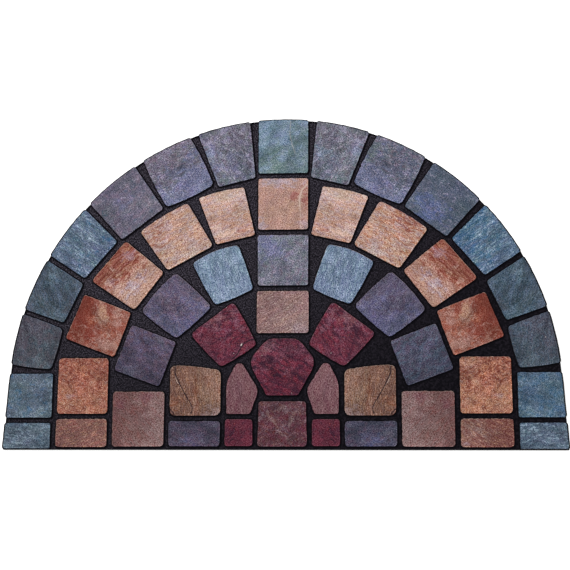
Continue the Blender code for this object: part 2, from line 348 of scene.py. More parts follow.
class Shading:
    """A material's node tree, and the few patterns that the rubber and the print share."""

    def __init__(self, name: str) -> None:
        """Start an empty material.

        Args:
            name: The real material's name.
        """
        self.material = bpy.data.materials.new(name)
        self.material.use_nodes = True
        self.tree = self.material.node_tree
        self.tree.nodes.clear()
        self.chance = random.Random(name)
        self.object_place = self.node("ShaderNodeTexCoord").outputs["Object"]

    def node(self, kind: str, inputs: dict | None = None, **settings: object) -> bpy.types.Node:
        """Add a node to this material, as add_node does."""
        return add_node(self.tree, kind, inputs, **settings)

    def math(self, operation: str, first: object, second: object = 0.0) -> Socket:
        """The result of a Math node on two values or sockets."""
        return self.node("ShaderNodeMath", {0: first, 1: second}, operation=operation).outputs[0]

    def line(self, value: object, slope: object, offset: object) -> Socket:
        """A value times a slope plus an offset."""
        inputs = {0: value, 1: slope, 2: offset}
        return self.node("ShaderNodeMath", inputs, operation="MULTIPLY_ADD").outputs[0]

    def vector(self, operation: str, *inputs: object) -> bpy.types.Node:
        """A Vector Math node on vectors or sockets."""
        return self.node("ShaderNodeVectorMath", dict(enumerate(inputs)), operation=operation)

    def parts(self, vector: Socket) -> bpy.types.bpy_prop_collection:
        """The X, Y and Z sockets of a vector."""
        return self.node("ShaderNodeSeparateXYZ", {0: vector}).outputs

    def stored(self, name: str) -> Socket:
        """The value of an attribute on the piece's points."""
        return self.node("ShaderNodeAttribute", attribute_name=name).outputs["Fac"]

    def anywhere(self) -> tuple[float, float]:
        """A seeded place in millimetres, so that no two patterns are the same piece of noise."""
        return self.chance.uniform(-900, 900), self.chance.uniform(-900, 900)

    def laid(
        self,
        place: Socket,
        centre: tuple[float, float] = (0.0, 0.0),
        angle: float = 0.0,
        size: tuple[float, float] = (1.0, 1.0),
    ) -> Socket:
        """A place moved, turned and divided into a pattern's own units.

        Args:
            place: The place, in millimetres.
            centre: Where the pattern's middle is, in millimetres.
            angle: The pattern's way, in degrees from the X axis.
            size: How many millimetres one unit spans, along and across the pattern.

        Returns:
            The place in the pattern.
        """
        inputs = {
            "Vector": place,
            "Location": (*centre, 0.0),
            "Rotation": (0.0, 0.0, math.radians(angle)),
            "Scale": (*size, 1.0),
        }
        return self.node("ShaderNodeMapping", inputs, vector_type="TEXTURE").outputs[0]

    def noise(self, place: Socket, detail: float = 3.0, roughness: float = 0.55) -> bpy.types.Node:
        """A Noise node whose spots are about one unit of the place across."""
        inputs = {"Vector": place, "Scale": 1.0, "Detail": detail, "Roughness": roughness}
        return self.node("ShaderNodeTexNoise", inputs)

    def cells(self, place: Socket, size: float) -> bpy.types.Node:
        """A Voronoi node whose cells, somewhere in the pattern, are this many millimetres wide."""
        inputs = {"Vector": self.laid(place, self.anywhere(), 0.0, (size, size)), "Scale": 1.0}
        return self.node("ShaderNodeTexVoronoi", inputs, voronoi_dimensions="2D")

    def waves(self, place: Socket) -> Socket:
        """Fractal noise as a value whose mean is zero and whose spread is about one."""
        value = self.noise(place, 5.0, NOISE_ROUGHNESS).outputs[0]
        return self.line(value, 1.0 / NOISE_SPREAD, -0.5 / NOISE_SPREAD)

    def on_side(self, value: Socket, side: Side) -> Socket:
        """A value kept to one half of the mat, or left as it is for both.

        Args:
            value: The value.
            side: The half.

        Returns:
            The value there, and zero on the other half.
        """
        if side is Side.BOTH:
            return value
        across = self.parts(self.object_place)[0]
        own_side = self.math("GREATER_THAN", self.math("MULTIPLY", across, side.value))
        return self.math("MULTIPLY", value, own_side)

    def ramp(self, value: Socket, start: float, end: float, low: float, high: float) -> Socket:
        """A value turned from the range start to end into low to high, smoothly and no further."""
        inputs = {0: value, 1: start, 2: end, 3: low, 4: high}
        return self.node("ShaderNodeMapRange", inputs, interpolation_type="SMOOTHSTEP").outputs[0]

    def mixed(self, share: object, under: object, over: object) -> Socket:
        """One colour laid over another.

        Args:
            share: How much of the upper colour shows.
            under: The lower colour, as an ink or a socket.
            over: The upper colour, as an ink or a socket.

        Returns:
            The mixed colour.
        """
        inputs = {MIX_SHARE: share}
        for key, colour in ((MIX_UNDER, under), (MIX_OVER, over)):
            inputs[key] = linear(colour) if isinstance(colour, Ink) else colour
        return self.node("ShaderNodeMix", inputs, data_type="RGBA").outputs[MIX_RESULT]

    def finish(
        self,
        colour: Socket,
        rough: object,
        height: object,
        depth: float,
        sheen: float = 0.0,
        mirror: float = MATT_FIBRE,
        glow: float = 0.0,
    ) -> None:
        """Join the colour, roughness and fine height to the shader and the output.

        Args:
            colour: The surface's colour.
            rough: Its roughness.
            height: The fine height, from zero to one.
            depth: What a height of one stands for, in metres.
            sheen: How much light the fibres catch.
            mirror: How strongly it reflects, where one half is common.
            glow: How brightly the surface shines of its own.
        """
        bump = self.node("ShaderNodeBump", {"Height": height, "Distance": depth, "Strength": 1.0})
        shader = self.node(
            "ShaderNodeBsdfPrincipled",
            {
                "Base Color": colour,
                "Roughness": rough,
                "Normal": bump.outputs[0],
                "IOR": 1.45,
                "Specular IOR Level": mirror,
                "Sheen Weight": sheen,
                "Sheen Roughness": 0.6,
                "Emission Color": (1.0, 1.0, 1.0, 1.0),
                "Emission Strength": glow,
            },
        )
        self.node("ShaderNodeOutputMaterial", {"Surface": shader.outputs[0]})


@dataclass(frozen=True)
class CrumbRubber:
    """Recycled rubber crumb, pressed hot with short dark fibre dusted on top.

    To the eye it is a dull, faintly violet black, speckled by granules and fibre ends. Painted shade
    takes the fibre and granules away at the stones' feet, and reaches farthest behind them from the
    lamp as a painted shadow. Painted light makes the joints paler towards the lamp at the far left,
    and painted shade makes them darker lower down the mat.

    granule and grit are widths in millimetres. The real crumb is 1 to 2 mm and is drawn a little
    coarser to show. depth is how far it stands out, rough how rough the granules are at least and
    at most, tufts how the grit turns into tufts of fibre, and pressed is for the bare underside.
    """

    granule: float = 2.4
    grit: float = 1.9
    depth: float = 0.35 * MM
    rough: tuple[float, float] = (0.72, 0.95)
    tufts: tuple[float, float, float, float] = (0.42, 0.72, 0.0, 3.0)
    pressed: bool = False

    def material(self) -> bpy.types.Material:
        """Make the material.

        Returns:
            The fibre-dusted rubber with its painted light and shade, or the bare pressed rubber of the
            underside.
        """
        shade = Shading("bare_crumb_rubber" if self.pressed else "fibre_dusted_crumb_rubber")
        place = shade.laid(shade.object_place, size=(MM, MM))
        cells = shade.cells(place, self.granule)
        tone = shade.node("ShaderNodeSeparateColor", {0: cells.outputs["Color"]}).outputs
        grit = shade.noise(shade.laid(place, shade.anywhere(), 0.0, (self.grit,) * 2), 1.0).outputs[0]
        granules = shade.ramp(tone[0], 0.3, 1.0, 0.0, 1.0)
        if self.pressed:
            colour = shade.mixed(granules, Ink.BLACK_RUBBER, Ink.GRANULE)
        else:
            # Painted shade: granules and fibre give way to black at the stones' feet.
            bed = shade.ramp(shade.stored(PAINTED_SHADE_WIDTHS), *PAINTED_SHADE_EDGE, 0.0, 1.0)
            colour = shade.mixed(shade.math("MULTIPLY", granules, bed), Ink.BLACK_RUBBER, Ink.GRANULE)
            colour = shade.mixed(self.fibre_painted_light_and_shade(shade, place, bed, grit), colour, Ink.PALE_FIBRE)
        height = shade.math("ADD", shade.math("SUBTRACT", 1.0, cells.outputs[0]), grit)
        rough = shade.ramp(tone[1], 0.0, 1.0, *self.rough)
        mirror = PRESSED_MIRROR if self.pressed else MATT_CRUMB
        shade.finish(colour, rough, height, self.depth, mirror=mirror)
        return shade.material

    def fibre_painted_light_and_shade(self, shade: Shading, place: Socket, bed: Socket, grit: Socket) -> Socket:
        """How much pale fibre shows on the rubber, in tufts, with painted light and shade in it.

        Args:
            shade: The material.
            place: The place, in millimetres.
            bed: Where the joint is out of the painted shade, from none at a stone's foot to all past it.
            grit: Noise as fine as the fibre's tufts.

        Returns:
            The share of the surface that fibre covers, painted light and shade included.
        """
        along = shade.parts(shade.laid(place, (0.0, 0.0), PAINTED_LIGHT_SIDE))[0]
        # Painted light, paler towards the lamp, and painted shade, darker down the mat.
        painted_light = shade.math(
            "MULTIPLY",
            shade.ramp(along, *PAINTED_LIGHT_ALONG),
            shade.ramp(shade.parts(place)[1], *PAINTED_LIGHT_UP),
        )
        tufts = shade.ramp(grit, *self.tufts)
        return shade.math("MULTIPLY", shade.math("MULTIPLY", bed, painted_light), tufts)


@dataclass(frozen=True)
class Layer:
    """One ink of a print, laid over those before it, on both stones of a pair or on one."""

    ink: Ink
    side: Side = field(default=Side.BOTH, kw_only=True)

    def mask(self, shade: Shading, place: Socket) -> Socket:
        """How much of the ink shows at a place.

        Args:
            shade: The material.
            place: The place, in millimetres from the stone's middle.

        Returns:
            The ink's share, from none to all of its strength.
        """
        raise NotImplementedError

    def share(self, shade: Shading, place: Socket) -> Socket:
        """The mask, kept to the stone of a pair that the layer is for."""
        return shade.on_side(self.mask(shade, place), self.side)


@dataclass(frozen=True)
class Cloud(Layer):
    """Soft clouds or, when stretched, streaks of one ink.

    size is their width in millimetres, cover the share of the stone that they take, stretch how
    many times longer than wide they are, and angle their way in degrees. They may grow thicker
    towards one side of the stone, given in degrees as well.
    """

    size: float
    cover: float
    strength: float = 0.7
    stretch: float = 1.0
    angle: float = 0.0
    towards: float | None = None

    def mask(self, shade: Shading, place: Socket) -> Socket:
        """How much of the ink shows at a place.

        Args:
            shade: The material.
            place: The place, in millimetres from the stone's middle.

        Returns:
            The ink's share, from none to all of its strength.
        """
        spot = shade.laid(place, shade.anywhere())
        turned = shade.laid(spot, (0.0, 0.0), self.angle, (self.size * self.stretch, self.size))
        middle = NormalDist().inv_cdf(1.0 - self.cover)
        start, end = (middle + edge for edge in CLOUD_EDGE)
        clouds = shade.ramp(shade.waves(turned), start, end, 0.0, self.strength)
        if self.towards is None:
            return clouds
        return shade.math("MULTIPLY", clouds, Drift(self.ink, self.towards, 1.0).mask(shade, place))


@dataclass(frozen=True)
class Drift(Layer):
    """One ink that gathers in patches towards a side of the stone.

    towards is that side, in degrees from the X axis, reach how far from the middle the ink is at
    its full strength, and patch how wide its patches are, both in millimetres.
    """

    towards: float
    strength: float = 0.7
    reach: float = 34.0
    patch: float = 18.0

    def mask(self, shade: Shading, place: Socket) -> Socket:
        """How much of the ink shows at a place.

        Args:
            shade: The material.
            place: The place, in millimetres from the stone's middle.

        Returns:
            The ink's share, from none to all of its strength.
        """
        along = shade.parts(shade.laid(place, (0.0, 0.0), self.towards, (self.reach,) * 2))[0]
        patches = shade.waves(shade.laid(place, shade.anywhere(), 0.0, (self.patch,) * 2))
        front = shade.line(patches, DRIFT_UNEVENNESS, along)
        return shade.ramp(front, *DRIFT_EDGE, 0.0, self.strength)


@dataclass(frozen=True)
class Mark(Layer):
    """A patch or a streak at its own place: an uneven ellipse of one ink.

    x and y are its middle, from the stone's middle, and length and width its size, all in
    millimetres. soft is the share of it over which it fades.
    """

    x: float
    y: float
    length: float
    width: float
    angle: float = 0.0
    strength: float = 0.7
    soft: float = 0.8

    def mask(self, shade: Shading, place: Socket) -> Socket:
        """How much of the ink shows at a place.

        Args:
            shade: The material.
            place: The place, in millimetres from the stone's middle.

        Returns:
            The ink's share, from none to all of its strength.
        """
        own = shade.laid(place, (self.x, self.y), self.angle, (self.length / 2, self.width / 2))
        flat = shade.vector("MULTIPLY", own, (1.0, 1.0, 0.0))
        away = shade.vector("LENGTH", flat.outputs[0]).outputs["Value"]
        uneven = shade.waves(shade.laid(place, shade.anywhere(), self.angle, MARK_SPOTS))
        away = shade.line(uneven, min(MARK_UNEVENNESS, self.width / 50), away)
        return shade.ramp(away, MARK_OUTLINE, MARK_OUTLINE - self.soft, 0.0, self.strength)


@dataclass(frozen=True)
class Veins(Layer):
    """Thin wandering lines of one ink, broken into lengths.

    size is how far apart they run, width how wide they are at most, both in millimetres.
    """

    size: float
    width: float
    strength: float = 0.7
    stretch: float = 2.5
    angle: float = 0.0

    def mask(self, shade: Shading, place: Socket) -> Socket:
        """How much of the ink shows at a place.

        Args:
            shade: The material.
            place: The place, in millimetres from the stone's middle.

        Returns:
            The ink's share, from none to all of its strength.
        """
        turned = shade.laid(place, shade.anywhere(), self.angle, (self.size * self.stretch, self.size))
        height = shade.math("ABSOLUTE", shade.line(shade.noise(turned, 2.0).outputs[0], 1.0, -0.5))
        lines = shade.ramp(height, VEIN_SLOPE * self.width / self.size, 0.0, 0.0, self.strength)
        lengths = shade.waves(shade.laid(place, shade.anywhere(), 0.0, (self.size,) * 2))
        return shade.math("MULTIPLY", lines, shade.ramp(lengths, *VEIN_BREAKS, 0.0, 1.0))


@dataclass(frozen=True)
class Flecks(Layer):
    """Small scattered dots of one ink.

    spacing is the distance between the places where one may be, and size how wide it is at most,
    both in millimetres. cover is how many of the places have one.
    """

    spacing: float
    size: float
    cover: float = 0.3
    strength: float = 0.8

    def mask(self, shade: Shading, place: Socket) -> Socket:
        """How much of the ink shows at a place.

        Args:
            shade: The material.
            place: The place, in millimetres from the stone's middle.

        Returns:
            The ink's share, from none to all of its strength.
        """
        cells = shade.cells(place, self.spacing).outputs
        radius = self.size / self.spacing / 2
        dot = shade.ramp(cells[0], radius, radius * FLECK_CORE, 0.0, self.strength)
        chosen = shade.node("ShaderNodeSeparateColor", {0: cells["Color"]}).outputs[0]
        return shade.math("MULTIPLY", dot, shade.math("LESS_THAN", chosen, self.cover))


@dataclass(frozen=True)
class Crack:
    """A moulded crack or ridge of one ink, along straight stretches between a few points.

    points are X and Y, and width how wide it is at the top, in millimetres from the stone's
    middle. depth is in millimetres too, and below zero for a ridge.
    """

    points: tuple[tuple[float, float], ...]
    width: float = 2.0
    depth: float = 0.5
    strength: float = 0.85
    side: Side = Side.BOTH
    ink: Ink = Ink.SOOT

    def stretches(self) -> list[tuple[Vector, Vector]]:
        """The two ends of each straight stretch."""
        ends = [Vector(point) for point in self.points]
        return list(zip(ends, ends[1:]))

    def sunk(self, place: Vector) -> float:
        """How deep the crack is at a place, in millimetres."""
        away = min(self.off(place, *ends) for ends in self.stretches())
        return self.depth * max(0.0, 1.0 - away / (self.width + GRID_REACH))

    def off(self, place: Vector, start: Vector, end: Vector) -> float:
        """How far a place is from one stretch.

        Args:
            place: The place.
            start: Where the stretch starts.
            end: Where it ends.

        Returns:
            The distance, in millimetres as the places are.
        """
        way = end - start
        share = min(1.0, max(0.0, (place - start).dot(way) / way.length_squared))
        return (place - start - way * share).length

    def mask(self, shade: Shading, place: Socket) -> Socket:
        """How dark the crack is at a place.

        Args:
            shade: The material.
            place: The place, in millimetres from the stone's middle.

        Returns:
            The ink's share, from none to all of its strength.
        """
        nearest: object = FAR_OFF
        for start, end in self.stretches():
            way = end - start
            angle = math.degrees(math.atan2(way.y, way.x))
            parts = shade.parts(shade.laid(place, tuple((start + end) / 2), angle))
            past = shade.line(shade.math("ABSOLUTE", parts[0]), 1.0, -way.length / 2)
            arm = {0: shade.math("MAXIMUM", past), 1: parts[1]}
            flat = shade.node("ShaderNodeCombineXYZ", arm).outputs[0]
            nearest = shade.math("MINIMUM", shade.vector("LENGTH", flat).outputs["Value"], nearest)
        start, end = (self.width * edge for edge in CRACK_EDGE)
        return shade.ramp(nearest, start, end, 0.0, self.strength)


@dataclass(frozen=True)
class Relief:
    """Moulded relief of a stone's face.

    height is how far it goes up and down and size how wide its rises are, in millimetres. A
    ridged relief has sharp crests, as broken marble has, and crests is how far they stand up.
    fractal is how fast the finer rises fade, how much finer each is, and how many there are.
    """

    height: float = 0.22
    size: float = 14.0
    stretch: float = 1.0
    angle: float = 0.0
    ridged: bool = False
    crests: float = 2.4
    fractal: tuple[float, float, int] = (0.8, 2.1, 4)

    def rise(self, x: float, y: float) -> float:
        """The height at a place, all in millimetres.

        Args:
            x: The place, from the stone's middle to the right.
            y: The place, from the stone's middle upwards.

        Returns:
            The height above the face's own level.
        """
        way = math.radians(self.angle)
        along = (x * math.cos(way) + y * math.sin(way)) / (self.size * self.stretch)
        across = (y * math.cos(way) - x * math.sin(way)) / self.size
        value = noise.fractal(Vector((along, across, self.size)), *self.fractal)
        return self.height * (1.0 - self.crests * abs(value) if self.ridged else value)


RIVEN = Relief(0.24, 15.0)
SPLIT = Relief(0.26, 7.0, 4.0)
BROKEN = Relief(0.4, 17.0, 1.4, 30.0, ridged=True)


@dataclass(frozen=True)
class PrintedFlock:
    """Short white polyester fibre, pressed into the rubber and printed in stone colours.

    To the eye it is a matt, sandy print, salted with fibre ends, with a painted highlight along
    the far rounded edges and painted light on those facing away from the lamp, that gives way to
    bare black rubber down the stones' sides.

    rim is the ink that shows on the far shoulder, partly print offset and partly painted highlight.
    salt, mottle and tinge are how much the tufts, and the broader mottling, vary in tone and in
    tint. way and stretch are the grain's direction in degrees and its length, and bend how far the
    patches waver, in millimetres.
    """

    ground: Ink
    layers: tuple[Layer, ...]
    relief: Relief = RIVEN
    slot: Slot = Slot.BLUE
    rim: Ink = Ink.CREAM
    salt: float = 0.36
    mottle: float = 0.12
    tinge: float = 0.4
    way: float = 40.0
    stretch: float = 1.5
    bend: float = 10.0
    cracks: tuple[Crack, ...] = ()

    def material(self, name: str, middle: Vector, paired: bool) -> bpy.types.Material:
        """Make the print of one stone, or of a stone and its mirror image.

        Args:
            name: The stone's name.
            middle: The stone's middle.
            paired: Whether the print is mirrored on the other half of the mat.

        Returns:
            The material.
        """
        shade = Shading(f"printed_flock_{name}")
        parts = shade.parts(shade.object_place)
        across = shade.math("ABSOLUTE", parts[0]) if paired else parts[0]
        folded = shade.node("ShaderNodeCombineXYZ", {0: across, 1: parts[1]}).outputs[0]
        place = shade.laid(folded, (middle.x, middle.y), 0.0, (MM, MM))
        bent = self.bent(shade, place, LARGE_WAVER, self.bend)
        bent = self.bent(shade, bent, SMALL_WAVER, self.bend / 4)
        colour: object = self.ground
        for layer in self.layers:
            colour = shade.mixed(layer.share(shade, bent), colour, layer.ink)
        colour, grain = self.salted(shade, place, colour)
        fine = self.bent(shade, place, CRACK_WAVER, CRACK_SWAY)
        for crack in self.cracks:
            dark = shade.on_side(crack.mask(shade, fine), crack.side)
            colour = shade.mixed(dark, colour, crack.ink)
        colour = self.worn(shade, place, colour, parts[2], grain)
        rough = shade.ramp(grain, *PRINT_ROUGHNESS)
        shade.finish(colour, rough, grain, FIBRE_DEPTH, FIBRE_SHEEN)
        return shade.material

    def bent(self, shade: Shading, place: Socket, size: float, reach: float) -> Socket:
        """A place pushed about, so that lines waver and patches have uneven edges.

        Args:
            shade: The material.
            place: The place, in millimetres.
            size: How wide each waver is, in millimetres.
            reach: How far it pushes at most, in millimetres.

        Returns:
            The pushed place.
        """
        pushes = shade.noise(shade.laid(place, shade.anywhere(), 0.0, (size, size)), 2.0)
        reaches = (reach * 2, reach * 2, 0.0), (-reach, -reach, 0.0)
        pushed = shade.vector("MULTIPLY_ADD", pushes.outputs["Color"], *reaches)
        return shade.vector("ADD", place, pushed.outputs[0]).outputs[0]

    def salted(self, shade: Shading, place: Socket, colour: Socket) -> tuple[Socket, Socket]:
        """The print broken up by lighter, darker and differently tinged tufts of fibre.

        Args:
            shade: The material.
            place: The place, in millimetres.
            colour: The print.

        Returns:
            The print with its grain, and the grain itself.
        """
        spot = shade.laid(place, shade.anywhere())
        mottle = (MOTTLE_SIZE * self.stretch, MOTTLE_SIZE)
        wide = shade.noise(shade.laid(spot, (0.0, 0.0), self.way, mottle), 5.0, MOTTLE_ROUGHNESS)
        least, pull = TUFT_PULL
        tuft = (TUFT_LENGTH * (least + pull * self.stretch), TUFT_WIDTH)
        fine = shade.noise(shade.laid(spot, (90.0, 0.0), self.way, tuft), 1.0)
        grain = fine.outputs[0]
        tints = []
        for source, share in ((wide, MOTTLE_TINT), (fine, TUFT_TINT)):
            amount = share * self.tinge
            mean = (1.0 - amount / 2,) * 3
            tint = shade.vector("MULTIPLY_ADD", source.outputs["Color"], (amount,) * 3, mean)
            tints.append(tint.outputs[0])
        spread = self.mottle / NOISE_SPREAD
        mottled = shade.line(wide.outputs[0], spread, FIBRE_TONE - spread / 2)
        tinted = shade.vector("MULTIPLY", *tints).outputs[0]
        scaled = shade.vector("MULTIPLY", tinted, mottled).outputs[0]
        printed = shade.vector("MULTIPLY", colour, scaled).outputs[0]
        grey = shade.node("ShaderNodeRGBToBW", {0: printed}).outputs[0]
        undyed = shade.mixed(UNDYED_SHARE, printed, grey)
        salt = self.salt / GRAIN_SPREAD
        grains = shade.line(grain, salt, -salt / 2)
        return shade.vector("MULTIPLY_ADD", undyed, grains, printed).outputs[0], grain

    def worn(
        self, shade: Shading, place: Socket, colour: Socket, height: Socket, grain: Socket
    ) -> Socket:
        """The print with painted light on its shoulders, ending in rubber down the side and at the mat's
        edge.

        The print sits a little low and to the right on the stones. So their far shoulder shows the
        rim's ink, which is partly a painted highlight on the shoulders facing the light. The shoulders
        facing away from the lamp are brightened, as painted light that cancels their shade, and the
        print ends lower down them than down those facing the lamp.

        Args:
            shade: The material.
            place: The place, in millimetres.
            colour: The print.
            height: The height above the floor.
            grain: The fibre grain, which roughens the line where the print ends.

        Returns:
            The colour of the whole stone.
        """
        shoulder = shade.ramp(height, *SHOULDER, 0.0, 1.0)
        normal = shade.node("ShaderNodeNewGeometry").outputs["Normal"]
        # Painted highlight, with print offset: the rim's ink on the shoulders facing the light.
        facing = shade.vector("DOT_PRODUCT", normal, RIM_SIDE).outputs["Value"]
        rim_offset_and_highlight = shade.ramp(facing, *RIM_FACING)
        colour = shade.mixed(shade.math("MULTIPLY", shoulder, rim_offset_and_highlight), colour, self.rim)
        lamp_facing = shade.vector("DOT_PRODUCT", normal, LAMP_SIDE).outputs["Value"]
        # Painted light: shoulders facing away from the lamp are brightened to cancel their shade.
        painted_lift = shade.ramp(lamp_facing, *PAINTED_LIFT_FACING, PAINTED_LIFT, 1.0)
        colour = shade.vector("MULTIPLY", colour, painted_lift).outputs[0]
        end = shade.ramp(lamp_facing, *END_FACING, *PRINT_END)
        spots = shade.laid(place, shade.anywhere(), 0.0, (BROAD_SIZE, BROAD_SIZE))
        broad = shade.noise(spots, 2.0).outputs[0]
        uneven = shade.math(
            "ADD",
            shade.line(grain, GRAIN_UNEVENNESS, -GRAIN_UNEVENNESS / 2),
            shade.line(broad, BROAD_UNEVENNESS, -BROAD_UNEVENNESS / 2),
        )
        foot = shade.math("LESS_THAN", height, shade.line(uneven, MM, end))
        bare = shade.ramp(shade.parts(shade.object_place)[1], 0.0, CROWN_SIDE, *BARE_LINE)
        from_rim = shade.stored(RIM_DISTANCE)
        rim = shade.math("LESS_THAN", from_rim, shade.line(uneven, EDGE_UNEVENNESS * MM, bare))
        return shade.mixed(shade.math("MAXIMUM", foot, rim), colour, Ink.BLACK_RUBBER)


@dataclass(frozen=True)
class Stone:
    """One stone, or the right-hand one of a mirrored pair, found by its middle.

    x and y are in millimetres from the middle of the mat's box.
    """

    name: str
    x: float
    y: float
    finish: PrintedFlock

    @property
    def paired(self) -> bool:
        """Whether a mirrored stone lies on the other half of the mat."""
        return self.x > 0


def slate(name: str, x: float, y: float, ground: Ink, *layers: Layer, **more: object) -> Stone:
    """A stone printed as blue or grey slate."""
    own = {"slot": Slot.BLUE, "rim": Ink.STEEL_BLUE, "salt": 0.4}
    return Stone(name, x, y, PrintedFlock(ground, layers, **{**own, **more}))


def violet(name: str, x: float, y: float, ground: Ink, *layers: Layer, **more: object) -> Stone:
    """A stone printed as violet slate."""
    own = {"slot": Slot.VIOLET, "rim": Ink.HAZE_BLUE, "salt": 0.48, "tinge": 0.28}
    return Stone(name, x, y, PrintedFlock(ground, layers, **{**own, **more}))


def sandstone(name: str, x: float, y: float, ground: Ink, *layers: Layer, **more: object) -> Stone:
    """A stone printed as peach, rust, brown or rose sandstone."""
    own = {"slot": Slot.SANDSTONE, "relief": SPLIT, "mottle": 0.06, "tinge": 0.17}
    return Stone(name, x, y, PrintedFlock(ground, layers, **{**own, **more}))


def marble(name: str, x: float, y: float, ground: Ink, *layers: Layer, **more: object) -> Stone:
    """A stone printed as burgundy marble."""
    own = {"slot": Slot.MARBLE, "relief": BROKEN, "salt": 0.52, "mottle": 0.08, "tinge": 0.24}
    return Stone(name, x, y, PrintedFlock(ground, layers, **{**own, **more}))


def patch(
    ink: Ink, x: float, y: float, length: float, width: float, strength: float, angle: float = 0.0
) -> Mark:
    """A mark that fades out all the way from its middle."""
    return Mark(ink, x, y, length, width, angle, strength, 1.0)


def left(layer: Layer) -> Layer:
    """A layer for the left-hand stone of a pair alone."""
    return replace(layer, side=Side.LEFT)


def right(layer: Layer) -> Layer:
    """A layer for the right-hand stone of a pair alone."""
    return replace(layer, side=Side.RIGHT)


